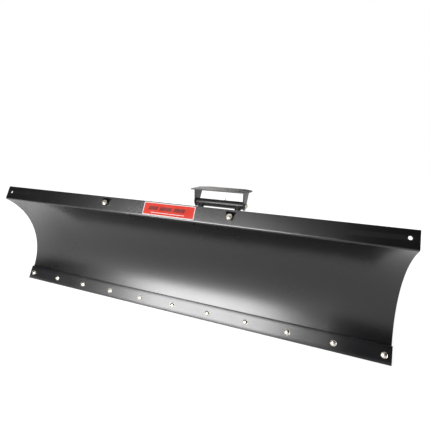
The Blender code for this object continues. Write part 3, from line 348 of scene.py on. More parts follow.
def finish(name, slot, dark, light, rough, spread, lumps, cloud, depth,
           dust=None, wear=None, rub=None, **plain):
    """A paint or metal as (material, slot). Each mask mixes its own tone over the two cloudy ones.

    dust = (amount, tone, dulling), wear = (radius, amount, tone), and
    rub = (scratches a metre, detail, stretch, slope, start, gain, metal) over the height above the ground."""
    made, tree, shader, where = start_material(name, **plain)
    grain = use(tree, GRAIN, where, lumps=lumps, cloud=cloud)
    colour = blend(tree, grain["Uneven"], dark, light)
    roughness = sloped(tree, grain["Uneven"], spread, rough)
    if dust:
        amount, tone, dulling = dust
        settled = use(tree, DUST, where, amount=amount)["Dust"]
        colour = blend(tree, settled, colour, tone)
        if dulling:
            roughness = maths(tree, "ADD", roughness, times(tree, settled, dulling), clamp=True)
    if wear:
        radius, amount, tone = wear
        bare = use(tree, EDGE_WEAR, where, radius=radius, amount=amount)["Worn"]
        if rub:
            scale, detail, stretch, slope, start, gain, metal = rub
            near = sloped(tree, node(tree, "SeparateXYZ", where).outputs["Z"], slope, start)
            scratched = maths(tree, "ADD", near, noise(tree, where, scale, detail, stretch))
            bare = maths(tree, "MAXIMUM", bare, times(tree, scratched, gain, True))
            feed(tree, shader.inputs["Metallic"], times(tree, bare, metal))
        colour = blend(tree, bare, colour, tone)
    feed(tree, shader.inputs["Base Color"], colour)
    feed(tree, shader.inputs["Roughness"], roughness)
    feed(tree, shader.inputs["Normal"], raised(tree, grain["Height"], depth))
    return made, slot


def powder_coat(name, base, rough, spread, lumps, depth, wear, dust):
    """Satin black coat: orange peel, chips to grey primer on edges, and dust."""
    dark = tuple(0.72 * c for c in base)
    return finish(name, "black_powder_coat", dark, base, rough, spread, lumps, 5.0, depth,
                  (dust, (0.22, 0.20, 0.18), 0.5), (0.0012, wear, (0.20, 0.20, 0.205)), ior=1.52)


SHEET_COAT = powder_coat("sheet_powder_coat", (0.0012, 0.0011, 0.0014), 0.26, 0.04, 650.0, 0.00012,
                         wear=0.25, dust=0.04)
FRAME_COAT = powder_coat("frame_powder_coat", (0.0060, 0.0060, 0.0064), 0.34, 0.08, 520.0, 0.00018,
                         wear=0.7, dust=0.16)
print("powder coats", SHEET_COAT[0].name, FRAME_COAT[0].name)

# %% [markdown]
# The wear bar has the same satin paint over hot rolled steel, with the corner that scrapes the ground
# rubbed to bare metal. Zinc plate is bright steel with a faint warm passivation that shifts in clouds,
# and tiny crystals. Spring steel is darker and oily. The skid shoes are cast iron, lumpy from the mould
# under thin black paint, with the sole rubbed bright.

# %% Bar paint, zinc, spring steel and iron
BAR_PAINT = finish("wear_bar_paint", "wear_bar", (0.0020, 0.0020, 0.0024), (0.0030, 0.0030, 0.0035),
                   0.27, 0.05, 420.0, 9.0, 0.00016, wear=(0.0016, 0.35, (0.30, 0.29, 0.28)),
                   rub=(60.0, 5.0, (0.25, 3.0, 3.0), -420.0, 1.2, 0.35, 0.85), ior=1.5)
ZINC = finish("zinc_plate", "zinc_plate", (0.50, 0.46, 0.37), (0.66, 0.64, 0.58),
              0.24, 0.16, 2400.0, 90.0, 0.00004, dust=(0.2, (0.30, 0.27, 0.23), None), metallic=1.0, ior=1.8)
SPRING_STEEL = finish("spring_steel", "spring_steel", (0.10, 0.10, 0.105), (0.24, 0.235, 0.23),
                      0.26, 0.20, 1500.0, 40.0, 0.00006, wear=(0.001, 0.5, (0.45, 0.44, 0.42)),
                      metallic=0.9, ior=1.6)
IRON = finish("cast_iron", "skid_shoe", (0.010, 0.010, 0.010), (0.022, 0.021, 0.020),
              0.46, 0.16, 330.0, 30.0, 0.00055, wear=(0.002, 0.9, (0.27, 0.25, 0.23)),
              rub=(70.0, 6.0, (1.0, 0.3, 1.0), -300.0, 0.6, 0.8, 0.8), ior=1.5)
print("metals and paint", [made.name for made, slot in (BAR_PAINT, ZINC, SPRING_STEEL, IRON)])

# %% Floor paint


def floor_paint():
    """A pale floor that glows a little, so that it stays nearly white, and more so away from the plow."""
    made, tree, shader, where = start_material("floor_paint", roughness=0.8, emission_strength=1.0)
    pale = blend(tree, noise(tree, where, 1.3, 4.0), (0.24, 0.24, 0.245), (0.27, 0.27, 0.27))
    feed(tree, shader.inputs["Base Color"], pale)
    reach = node(tree, "VectorMath", where, operation="LENGTH").outputs["Value"]
    glow = blend(tree, sloped(tree, reach, 0.5, -0.6, True), (0.80, 0.80, 0.80), (1.0, 1.0, 1.0))
    feed(tree, shader.inputs["Emission Color"], glow)
    return made


floor.data.materials.append(floor_paint())
print("floor finish", floor.data.materials[0].name)

# %% [markdown]
# ## Making surfaces from arrays
#
# Every new piece below is a grid of points worked out in one go with numpy. A grid of rows and columns
# becomes quads, and closes into a ring or a tube where a side wraps round. A *turned* piece is a
# profile carried round an axis, and a *swept* piece is a ring carried along a path.

# %% Grids, and pieces from them


def grid_faces(rows, columns, wrap_rows=False):
    """Quads between neighbouring rows and columns, the columns wrapping round."""
    r, c = np.meshgrid(np.arange(rows if wrap_rows else rows - 1), np.arange(columns), indexing="ij")
    r1, c1 = (r + 1) % rows, (c + 1) % columns
    quads = np.stack([r * columns + c, r * columns + c1, r1 * columns + c1, r1 * columns + c], axis=-1)
    return quads.reshape(-1, 4).tolist()


def tube_shell(points):
    """(points, faces) of a grid whose columns wrap round, its first and last rows closed by one face each."""
    rows, columns = points.shape[:2]
    last = (rows - 1) * columns
    ends = [list(range(columns))[::-1], list(range(last, last + columns))]
    return points.reshape(-1, 3), grid_faces(rows, columns) + ends


def loop_shell(points):
    """(points, faces) of a grid that wraps both ways, as a ring does."""
    return points.reshape(-1, 3), grid_faces(*points.shape[:2], wrap_rows=True)


def joined(shells):
    """Several shells as one set of points and faces."""
    points, faces, count = [], [], 0
    for shell_points, shell_faces in shells:
        points.append(shell_points)
        faces += [[i + count for i in face] for face in shell_faces]
        count += len(shell_points)
    return np.concatenate(points), faces


def cleaned(mesh, merge=1e-7, flatten=False):
    """Merges doubles, dissolves flat faces where asked, and turns every face outwards."""
    shape = bmesh.new()
    shape.from_mesh(mesh)
    bmesh.ops.remove_doubles(shape, verts=shape.verts, dist=merge)
    if flatten:
        bmesh.ops.dissolve_limit(shape, angle_limit=np.radians(1.0), verts=shape.verts, edges=shape.edges)
    bmesh.ops.recalc_face_normals(shape, faces=shape.faces)
    shape.to_mesh(mesh)
    shape.free()


def shell_object(name, shell):
    points, faces = shell
    mesh = bpy.data.meshes.new(name)
    mesh.from_pydata(points.tolist(), [], faces)
    cleaned(mesh)
    return placed(name, mesh)


def finished(made, body, coat, replaces, smooth_below):
    """Smooth shading, the coat's material, the body, and the CAD nodes that the piece stands for."""
    material, slot = coat
    made.data.materials.clear()
    made.data.materials.append(material)
    made.data.shade_smooth()
    made.data.set_sharp_from_angle(angle=np.radians(smooth_below))
    if body:
        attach(made, body)
    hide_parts(*replaces)
    return made


def piece(name, shell, body, coat, *replaces, smooth_below=35):
    """A finished piece from (points, faces)."""
    return finished(shell_object(name, shell), body, coat, replaces, smooth_below)


# %% Turned, swept and rounded shapes


def unit(vectors):
    vectors = np.asarray(vectors, float)
    return vectors / np.linalg.norm(vectors, axis=-1, keepdims=True)


def square_pair(axis):
    """Two directions square to an axis and to each other."""
    first = unit(np.cross(axis, UPRIGHT if abs(axis[2]) < 0.9 else ALONG_X))
    return first, np.cross(axis, first)


def eased(profile, radius, steps=3):
    """A polyline with each inner corner cut by a small arc, so that it catches light as a real edge does."""
    profile = np.asarray(profile, float)
    before, corner, after = profile[:-2], profile[1:-1], profile[2:]
    into, out = before - corner, after - corner
    reach = np.minimum(radius, 0.45 * np.minimum(np.linalg.norm(into, axis=1), np.linalg.norm(out, axis=1)))
    first, last = corner + unit(into) * reach[:, None], corner + unit(out) * reach[:, None]
    t = np.linspace(0, 1, steps + 1)[None, :, None]
    arcs = (1 - t) ** 2 * first[:, None] + 2 * t * (1 - t) * corner[:, None] + t ** 2 * last[:, None]
    return np.concatenate([profile[:1], arcs.reshape(-1, profile.shape[1]), profile[-1:]])


def eased_ring(profile, radius, steps=3):
    """The same for a closed profile."""
    profile = np.asarray(profile, float)
    return eased(np.concatenate([profile[-1:], profile, profile[:1]]), radius, steps)[1:-1]


def turned(profile, origin, axis, sides=48, ring=False):
    """A shell: a profile of (radius, height) carried round the axis through origin."""
    profile = np.asarray(profile, float)
    axis = unit(axis)
    first, second = square_pair(axis)
    angle = np.linspace(0, 2 * np.pi, sides, endpoint=False)
    circle = np.cos(angle)[:, None] * first + np.sin(angle)[:, None] * second
    points = origin + profile[:, 0, None, None] * circle + profile[:, 1, None, None] * axis
    return loop_shell(points) if ring else tube_shell(points)


TINY = 0.0004


def rod_profile(radius, start, end):
    """(radius, height) of a plain round bar, with a pinhole of a flat at each end."""
    return [(TINY, start), (radius, start), (radius, end), (TINY, end)]


def tube_profile(bore, radius, start, end):
    return [(bore, start), (radius, start), (radius, end), (bore, end)]


def swept_rings(path, radius, sides=12, ripple=None):
    """A grid: a round section carried along a path, turned no more than the path turns.

    The section's first direction is carried from point to point by dropping what leans along the path."""
    tangent = unit(np.gradient(path, axis=0))
    first = np.empty_like(path)
    carried = square_pair(tangent[0])[0]
    for i, along in enumerate(tangent):
        carried = carried - along * (carried @ along)
        carried /= np.linalg.norm(carried)
        first[i] = carried
    second = np.cross(tangent, first)
    angle = np.linspace(0, 2 * np.pi, sides, endpoint=False)
    size = np.broadcast_to(radius if ripple is None else radius * ripple, len(path))[:, None, None]
    circle = np.cos(angle)[:, None] * first[:, None] + np.sin(angle)[:, None] * second[:, None]
    return path[:, None] + size * circle


def resampled(path, spacing, fewest=4):
    """Points a spacing apart along a path, and how far along it each one lies."""
    path = np.asarray(path, float)
    reached = np.concatenate([[0], np.cumsum(np.linalg.norm(np.diff(path, axis=0), axis=1))])
    places = np.linspace(0, reached[-1], max(fewest, int(reached[-1] / spacing)))
    return np.stack([np.interp(places, reached, path[:, k]) for k in range(3)], axis=1), places


def swept(path, radius, sides=12, ripple=None):
    return tube_shell(swept_rings(path, radius, sides, ripple))


# %% [markdown]
# ## The moldboard
#
# The blade is one sheet of 3 mm steel. Its foot is flat for the wear bar, a press brake or rolls give it
# a quarter turn of curve, and a tight bend at the brow throws its top edge forwards as a flat strip, so
# that snow rolls over instead of climbing. A folded plane with Solidify would do, but a closed section
# swept along x gives control of the sheared edges: they are eased by half a millimetre, which is what
# draws the thin light lines along the top of the strip and down both ends.

# %% The section and the sheet
BLADE_HALF, SHEET, SHEET_START, SHEET_EASE = 0.7875, 0.003, 0.012, 0.0006
ARC_RADIUS, ARC_SWEEP, ARC_W = 0.2747, np.radians(84), 0.060
ARC_V = GAP - ARC_RADIUS
BROW_RADIUS, BROW_V, BROW_W, STRIP_HEIGHT = 0.006, -0.245686, 0.333195, 0.058
FIRST_EASE, EDGE_DRAW = 0.3, 0.72      # of the ease, and of the thickness


def face_line():
    """The front of the sheet as (v, w): the flat, the arc about (ARC_V, ARC_W), the brow bend, the strip."""
    reach = BROW_RADIUS * np.tan(ARC_SWEEP / 2)
    a = np.linspace(0, ARC_SWEEP - reach / ARC_RADIUS, 57)
    arc = np.stack([ARC_V + ARC_RADIUS * np.cos(a), ARC_W + ARC_RADIUS * np.sin(a)], axis=1)
    b = np.pi + ARC_SWEEP * (1 - np.linspace(0, 1, 9))
    bend = np.stack([1 + np.cos(b), np.sin(b)], axis=1) * BROW_RADIUS + (BROW_V, BROW_W + reach)
    strip = [[BROW_V, w] for w in np.linspace(BROW_W + 0.008, BROW_W + STRIP_HEIGHT, 8)]
    flat = [[GAP, w] for w in np.linspace(SHEET_START, ARC_W - 0.003, 8)]
    return np.concatenate([flat, arc, bend, strip])


def offset_line(line, distance):
    """A polyline moved to its right by a distance, along the mean of the normals on either side."""
    along = unit(np.gradient(line, axis=0))
    return line + distance * np.stack([along[:, 1], -along[:, 0]], axis=1)


def with_round_ends(front, back):
    """Both lines with their first and last points drawn together, so the open edges come out round."""
    for _ in range(2):
        along = unit(front[0] - front[1])
        middle = (front[0] + back[0]) / 2
        drawn = [np.concatenate([[middle + (side[0] - middle) * EDGE_DRAW], [side[0] - along * SHEET_EASE],
                                 side[1:]]) for side in (front, back)]
        front, back = (side[::-1] for side in drawn)
    return front, back


def bar_shell(front, back, half, ease):
    """A shell: the ring of the front and back lines carried along x, and thinned towards the line midway
    between them over the last ease at each end, which rounds the ends' edges as a hand grinder does."""
    middle, thick = (front + back) / 2, np.linalg.norm(front - back, axis=1, keepdims=True)
    first = FIRST_EASE * ease
    between = np.linspace(ease - half, half - ease, 9)
    x = np.concatenate([[-half, first - half], between, [half - first, half]])
    cuts = np.zeros((len(x), 1, 1))
    cuts[[0, -1]], cuts[[1, -2]] = ease, first
    keep = 1 - 2 * cuts / thick
    front, back = (middle + (side - middle) * keep for side in (front, back))
    section = np.concatenate([front, back[:, ::-1]], axis=1)
    rows, columns = section.shape[:2]
    c = np.arange(columns // 2 - 1)
    cap = np.stack([c, c + 1, columns - 2 - c, columns - 1 - c], axis=1)
    faces = grid_faces(rows, columns) + cap[:, ::-1].tolist() + (cap + (rows - 1) * columns).tolist()
    return at(x[:, None], section[..., 0], section[..., 1]).reshape(-1, 3), faces


FACE = face_line()
front, back = with_round_ends(FACE, offset_line(FACE, SHEET))
moldboard = piece("moldboard_sheet", bar_shell(front, back, BLADE_HALF, SHEET_EASE), "blade", SHEET_COAT,
                  "moldboard", smooth_below=50)
print("sheet developed width", round(float(np.linalg.norm(np.diff(FACE, axis=0), axis=1).sum()), 4))

# %% [markdown]
# The strip has two wide V notches, which hold the springs' eye bolts, and a round hole near each end for
# a marker flag. They were punched, so their rims are crisp. A cutter and an exact Boolean is how a punch
# works, and only the strip's few flat faces are touched by it.

# %% Notches and marker holes
SPRING_X = 0.250
EYE_BOLT_RADIUS, EYE_BOLT_RISE = 0.0055, 0.030
NOTCH_FOOT, NOTCH_HALF, NOTCH_TOP, NOTCH_CORNER = EYE_BOLT_RADIUS + 0.0013, 0.019, 0.052, 0.003
MARKER_X, MARKER_W, MARKER_RADIUS = BLADE_HALF - 0.0244, BROW_W + STRIP_HEIGHT - 0.025, 0.0056
PUNCH_REACH = 0.02


def prism(outline, v0, v1):
    """A shell: an outline in (x, w) given thickness from v0 to v1."""
    return tube_shell(np.stack([at(outline[:, 0], v, outline[:, 1]) for v in (v0, v1)]))


def circle_points(x, w, radius, angles):
    return np.stack([x + radius * np.cos(angles), w + radius * np.sin(angles)], axis=1)


def round_outline(x, w, radius):
    return circle_points(x, w, radius, np.linspace(0, 2 * np.pi, 40, endpoint=False))


def notch_outline(centre):
    """A round foot under the bolt, two flanks, and a head with cut corners."""
    foot = circle_points(centre, BROW_W + EYE_BOLT_RISE, NOTCH_FOOT, np.pi + np.linspace(0, np.pi, 25))
    head = BROW_W + NOTCH_TOP
    right_corner = [(NOTCH_HALF, head - NOTCH_CORNER), (NOTCH_HALF - NOTCH_CORNER, head)]
    corners = right_corner + [(-x, w) for x, w in right_corner[::-1]]
    return np.concatenate([foot, [(centre + x, w) for x, w in corners]])


def cut(target, outlines):
    """Punches outlines out of a piece with one exact Boolean, then drops the cutter."""
    punch = [prism(outline, BROW_V - PUNCH_REACH, BROW_V + PUNCH_REACH) for outline in outlines]
    cutter = shell_object("cutter", joined(punch))
    step = target.modifiers.new("punch", "BOOLEAN")
    step.object, step.solver = cutter, "EXACT"
    graph = bpy.context.evaluated_depsgraph_get()
    target.data = bpy.data.meshes.new_from_object(target.evaluated_get(graph), depsgraph=graph)
    target.modifiers.clear()
    bpy.data.objects.remove(cutter)
    target.data.shade_smooth()
    target.data.set_sharp_from_angle(angle=np.radians(30))


cut(moldboard, [notch_outline(s * SPRING_X) for side, s in SIDES]
    + [round_outline(s * MARKER_X, MARKER_W, MARKER_RADIUS) for side, s in SIDES])
print("moldboard after punching", len(moldboard.data.polygons), "faces")

# %% [markdown]
# A thin plate is welded behind each notch, with a slot for the eye bolt. Its near-black, dull finish is
# painted shade, so that the notch looks dark from in front. It is a rounded rectangle with thickness,
# and the same kind of cut as the notch makes its slot.

# %% Plates behind the notches
# Painted shade: a near-black, dull finish for the plates behind the notches, so that the notches read dark
NOTCH_SHADE_PAINT = start_material("notch_painted_shade", base_color=(0.0010, 0.0010, 0.0012), roughness=0.85, ior=1.15)[0]
BACKING_LOW, BACKING_HIGH, BACKING_HALF = BROW_W + 0.012, BROW_W + STRIP_HEIGHT - 0.003, 0.024
BACKING_LAP, BACKING_PLATE, BACKING_CORNER = 0.0002, 0.002, 0.002
SLOT_DROP, SLOT_CLEARANCE = 0.0007, 0.0009


def rounded_rectangle(x0, w0, x1, w1, radius):
    """An outline whose corners are quarter circles, anticlockwise."""
    a = np.linspace(0, np.pi / 2, 7)
    x0, w0, x1, w1 = x0 + radius, w0 + radius, x1 - radius, w1 - radius
    corners = enumerate(((x1, w1), (x0, w1), (x0, w0), (x1, w0)))
    return np.concatenate([circle_points(x, w, radius, a + q * np.pi / 2) for q, (x, w) in corners])


for side, s in SIDES:
    x = s * SPRING_X
    outline = rounded_rectangle(x - BACKING_HALF, BACKING_LOW, x + BACKING_HALF, BACKING_HIGH, BACKING_CORNER)
    plate = prism(outline, BROW_V + SHEET - BACKING_LAP, BROW_V + SHEET + BACKING_PLATE)
    backing = piece(f"notch_backing_{side}", plate, "blade", (NOTCH_SHADE_PAINT, "black_powder_coat"))
    cut(backing, [round_outline(x, BROW_W + EYE_BOLT_RISE - SLOT_DROP, EYE_BOLT_RADIUS + SLOT_CLEARANCE)])
print("backing plates", round(2000 * BACKING_HALF), "mm wide")

# %% [markdown]
# ## Wear bar and carriage bolts
#
# The wear bar is the part that touches the ground, a flat bar held by eleven carriage bolts so that it
# can be replaced. Its long edges are rolled, so they are eased by about a millimetre. A carriage bolt has
# a low dome and no slot: the dome is a cap of a sphere turned round the bolt's axis, with a small flat
# land at its rim. Behind the sheet each bolt has a washer, a hexagon nut and a few turns of thread.

# %% Wear bar
BAR_ROLLED_EDGE, BAR_END_EASE, BAR_OVERHANG = 0.0009, 0.0008, 0.0015


def slab_section(height, v0, v1, ease):
    """Front and back lines of a flat bar's section with eased long edges."""
    first = FIRST_EASE * ease
    w = np.concatenate([[0, first], np.linspace(ease, height - ease, 5), [height - first, height]])
    inset = np.zeros(len(w))
    inset[[0, -1]], inset[[1, -2]] = ease, first
    return np.stack([v0 + inset, w], axis=1), np.stack([v1 - inset, w], axis=1)


section = slab_section(BAR_HEIGHT, -BAR_THICKNESS, 0, BAR_ROLLED_EDGE)
bar = piece("wear_bar_painted", bar_shell(*section, BLADE_HALF + BAR_OVERHANG, BAR_END_EASE), "blade",
            BAR_PAINT, "wear_bar", smooth_below=50)
print("wear bar", len(bar.data.polygons), "faces")

# %% Threads, nuts and washers


def around(origin, axis, size, z, sides):
    """Points at radius size and height z round an axis, one column for each of the sides."""
    axis = unit(axis)
    first, second = square_pair(axis)
    a = np.linspace(0, 2 * np.pi, sides, endpoint=False)
    circle = np.cos(a)[:, None] * first + np.sin(a)[:, None] * second
    return origin + size[..., None] * circle + z[..., None] * axis


def thread(origin, axis, radius, length, pitch=0.0015, sides=20):
    """A shell: a rod whose radius falls and rises once a turn, r - depth |2 frac(z/pitch + a/2pi) - 1|."""
    depth = 0.61 * pitch
    z = np.linspace(0, length, max(8, int(6 * length / pitch)))[:, None]
    wave = np.abs(2 * np.mod(z / pitch + np.arange(sides) / sides, 1) - 1)
    fade = np.clip((length - z) / (0.8 * pitch), 0, 1)
    return tube_shell(around(origin, axis, radius - depth * wave - (1 - fade) * 0.5 * depth, z, sides))


def hexagon(origin, axis, across_corners, height, bore=0.0, sides=48):
    """A shell: a hexagon prism with its corners turned off by 30 degrees at both ends.

    The radius at angle a is the smaller of the hexagon's own and of a cone that opens from the end."""
    a = np.linspace(0, 2 * np.pi, sides, endpoint=False)
    apothem = across_corners * np.cos(np.pi / 6)
    flat = apothem / np.cos(np.mod(a, np.pi / 3) - np.pi / 6)
    drop = 0.60 * (across_corners - apothem)
    low = np.array([0, 0.35 * drop, drop, 0.5 * height])
    z = np.concatenate([low, height - low[2::-1]])
    cone = apothem * 0.985 + np.minimum(z, height - z)[:, None] / np.tan(np.radians(30))
    inner = np.full((1, sides), bore)
    size = np.concatenate([inner, np.minimum(flat, cone), inner])
    z = np.concatenate([z[:1], z, z[-1:]])[:, None]
    points = around(origin, axis, size, z, sides)
    return loop_shell(points) if bore else tube_shell(points)


def washer(origin, axis, bore, radius, height):
    """A shell: a flat ring with eased edges."""
    ring = eased_ring(tube_profile(bore, radius, 0, height), height * 0.25, 2)
    return turned(ring, origin, axis, 32, ring=True)


# %% Carriage bolts
BOLTS, BOLT_MARGIN, BOLT_W = 11, 0.0216, 0.0277
HEAD_RADIUS, HEAD_RISE, HEAD_LAND = 0.0100, 0.0048, 0.00045
BOLT_RADIUS, SHANK, WASHER_PLATE, NUT_HEIGHT, TAIL, LAP = 0.0047, 0.010, 0.0012, 0.0073, 0.003, 0.001


def carriage_bolt(x):
    """Shells of one bolt: dome, shank, washer, nut and thread, along the leaning frame's v."""
    ball = (HEAD_RADIUS ** 2 + HEAD_RISE ** 2) / (2 * HEAD_RISE)
    r = np.linspace(TINY, HEAD_RADIUS * 0.97, 12)
    dome = np.stack([r, np.sqrt(ball ** 2 - r ** 2) - ball + HEAD_RISE], axis=1)
    rim = [(HEAD_RADIUS, HEAD_LAND), (HEAD_RADIUS * 0.985, 0.0), (BOLT_RADIUS, 0.0), (BOLT_RADIUS, -SHANK)]
    seat, behind = at(x, -BAR_THICKNESS - GAP, BOLT_W), at(x, SHEET + 2 * GAP, BOLT_W)
    return [turned(np.concatenate([dome, rim]), seat, -BACK, 40),
            washer(behind - GAP * BACK, BACK, 0.0050, 0.0098, WASHER_PLATE),
            hexagon(behind + WASHER_PLATE * BACK, BACK, 0.0083, NUT_HEIGHT, 0.0046),
            thread(behind - LAP * BACK, BACK, BOLT_RADIUS, LAP + WASHER_PLATE + NUT_HEIGHT + TAIL, 0.00125)]


BOLT_PLACES = np.linspace(-BLADE_HALF + BOLT_MARGIN, BLADE_HALF - BOLT_MARGIN, BOLTS)
for number, x in enumerate(BOLT_PLACES, 1):
    piece(f"carriage_bolt_{number:02d}", joined(carriage_bolt(x)), "blade", ZINC,
          f"wear_bar_bolt_{number:02d}")
print("bolt pitch", round(float(BOLT_PLACES[1] - BOLT_PLACES[0]), 4))

# %% [markdown]
# ## The decal
#
# A vinyl decal sits on the strip, a red field in a thin white border with rounded corners. The pattern
# is worked out from the decal's own UV map, in millimetres, so it stays sharp at any size: a rounded
# rectangle is the set of points within a radius of a smaller rectangle. The field carries plain slanted
# bars and nothing that can be read.

# %% Decal
LABEL_HALF, LABEL_X, LABEL_CORNER = 0.2045 / 2, 0.0210, 0.004
LABEL_LOW, LABEL_HIGH = BROW_W + 0.0075, BROW_W + STRIP_HEIGHT - 0.003
LABEL_W, LABEL_HALF_W = (LABEL_LOW + LABEL_HIGH) / 2, (LABEL_HIGH - LABEL_LOW) / 2
LEAN = 0.35


def decal_shell():
    """A rounded rectangle in (x, w): rings shrink towards the middle, and the rim rolls down to the strip."""
    a = np.linspace(0, 2 * np.pi, 96, endpoint=False)
    x = np.sign(np.cos(a)) * (LABEL_HALF - LABEL_CORNER) + LABEL_CORNER * np.cos(a)
    w = np.sign(np.sin(a)) * (LABEL_HALF_W - LABEL_CORNER) + LABEL_CORNER * np.sin(a)
    inset, rise = np.array([(0.0, 0.0), (0.0, 0.0005), (0.0001, 0.00058), (0.0004, 0.0006)]).T[:, :, None]
    x, w = x * (1 - inset / LABEL_HALF), w * (1 - inset / LABEL_HALF_W)
    rings = at(LABEL_X + x, BROW_V - rise, LABEL_W + w)
    return tube_shell(rings)


def decal_vinyl():
    made, tree, shader, where = start_material("decal_vinyl", roughness=0.60, ior=1.20)
    places = node(tree, "SeparateXYZ", node(tree, "UVMap", uv_map="decal").outputs[0])
    x, y = places.outputs["X"], places.outputs["Y"]

    def past(value, edge):
        """How far a value lies past an edge on either side of nought."""
        return maths(tree, "MAXIMUM", maths(tree, "SUBTRACT", maths(tree, "ABSOLUTE", value), edge), 0.0)

    def box_mask(half_x, half_y, radius, cx=0.0, cy=0.0, lean=0.0):
        """1 inside a rounded rectangle that leans with y."""
        px = maths(tree, "SUBTRACT", maths(tree, "SUBTRACT", x, cx), times(tree, y, lean))
        dx, dy = past(px, half_x - radius), past(maths(tree, "SUBTRACT", y, cy), half_y - radius)
        far = maths(tree, "SQRT", maths(tree, "ADD", times(tree, dx, dx), times(tree, dy, dy)))
        return sloped(tree, maths(tree, "SUBTRACT", far, radius), -8.0, 0.5, True)

    red, deep, white = (0.24, 0.0070, 0.0010), (0.07, 0.003, 0.002), (0.30, 0.29, 0.285)
    colour = blend(tree, box_mask(99.6, 21.0, 3.0), white, red)
    for cx, wide in ((-62.0, 19.0), (-12.0, 24.0), (42.0, 22.0)):
        colour = blend(tree, box_mask(wide, 7.0, 0.8, cx, 2.5, LEAN), colour, deep)
    colour = blend(tree, box_mask(66.0, 1.0, 0.5, 3.0, -13.5, LEAN), colour, white)
    grain = use(tree, GRAIN, where, lumps=900.0, cloud=30.0)
    faded = blend(tree, times(tree, grain["Uneven"], 0.10), colour, (0.30, 0.16, 0.14))
    feed(tree, shader.inputs["Base Color"], faded)
    feed(tree, shader.inputs["Normal"], raised(tree, grain["Height"], 0.00003))
    return made


decal = piece("decal", decal_shell(), "blade", (decal_vinyl(), "label"), "label")
loops = np.empty(len(decal.data.loops), np.int32)
decal.data.loops.foreach_get("vertex_index", loops)
spots = np.empty(len(decal.data.vertices) * 3, np.float64)
decal.data.vertices.foreach_get("co", spots)
leaning = (spots.reshape(-1, 3) - EDGE) @ np.stack([ALONG_X, UP], axis=1) - (LABEL_X, LABEL_W)
decal.data.uv_layers.new(name="decal").data.foreach_set("uv", (1000 * leaning[loops]).ravel())
print("decal", round(2000 * LABEL_HALF), "x", round(2000 * LABEL_HALF_W), "mm")

# %% [markdown]
# ## Plates
#
# Ribs, stiffeners, lugs, the sector and the bracket are laser cut plate and square tube. Their CAD
# shapes are already right, apart from their razor edges. A CAD mesh is loose triangles, so each plate is
# a copy whose doubles are merged and whose flat faces are dissolved into one, and a live Bevel then
# breaks every edge by a little over half a millimetre, which is about what a deburring wheel leaves.

# %% Deburred plates
DEBUR = 0.0006
SIDED = (("rib_inner", "blade"), ("rib_outer", "blade"), ("stiffener", "blade"), ("swivel_lug", "swivel"),
         ("spring_anchor", "swivel"), ("bracket_ear", "mount_bracket"))
PLATES = [(f"{name}_{side}", body) for side in ("left", "right") for name, body in SIDED]
PLATES += [("cross_tube", "swivel"), ("swivel_top_plate", "swivel"), ("swivel_bottom_plate", "swivel"),
           ("sector_plate", "push_frame"), ("lift_tab", "push_frame"), ("bracket_plate", "mount_bracket")]


def deburred(node_name, body):
    """A copy of a CAD node with clean faces and eased edges, which stands for it."""
    mesh = frame["nodes"][node_name].data.copy()
    mesh.name = node_name + "_plate"
    cleaned(mesh, merge=1e-6, flatten=True)
    for name in [a.name for a in mesh.attributes if a.name == "custom_normal"]:
        mesh.attributes.remove(mesh.attributes[name])
    made = placed(node_name + "_plate", mesh)
    bevel = made.modifiers.new("deburr", "BEVEL")
    bevel.width, bevel.segments = DEBUR, 2
    bevel.limit_method, bevel.angle_limit = "ANGLE", np.radians(40)
    bevel.harden_normals = False
    finished(made, body, FRAME_COAT, [node_name], 40)


for name, body in PLATES:
    deburred(name, body)
print("plates deburred:", len(PLATES))

# %% [markdown]
# ## Skid shoes
#
# Two cast iron mushrooms carry the blade's weight behind the sheet. Each is a shape of revolution: a
# dished foot, a stem and a shaft that slides in a tube on the outer rib, held by a washer and a cross
# pin. One profile turned round the shaft gives all of it, with corners eased by the mould's own radii.

# %% Skid shoes
SHOE_SHAFT, SHOE_STEM, SHOE_RIM, SHOE_FLAT, SHOE_TOP = 0.008, 0.012, 0.055, 0.0363, 0.198
SOCKET_LOW, SOCKET_TOP, SOCKET_RADIUS, SOCKET_BORE = 0.090, 0.140, 0.013, 0.0084
SKID_WASHER, SKID_WASHER_PLATE, SKID_PIN_Z, EDGE_BREAK = 0.016, 0.003, 0.186, 0.0006


def shoe_profile():
    """(radius, height) from the shaft's top down to the sole: shaft, shoulder, stem, dish and rim."""
    shoulder = SOCKET_LOW - SKID_WASHER_PLATE - 2 * GAP
    return eased([(TINY, SHOE_TOP), (SHOE_SHAFT - 0.0011, SHOE_TOP), (SHOE_SHAFT, SHOE_TOP - 0.0012),
                  (SHOE_SHAFT, shoulder), (SHOE_STEM, shoulder), (SHOE_STEM, 0.012), (0.0185, 0.005),
                  (SHOE_FLAT, 0.005), (SHOE_RIM - 0.002, 0.019), (SHOE_RIM, 0.016),
                  (SHOE_RIM * 0.94, 0.0063), (SHOE_FLAT, 0.0), (TINY, 0.0)], 0.0022, 5)


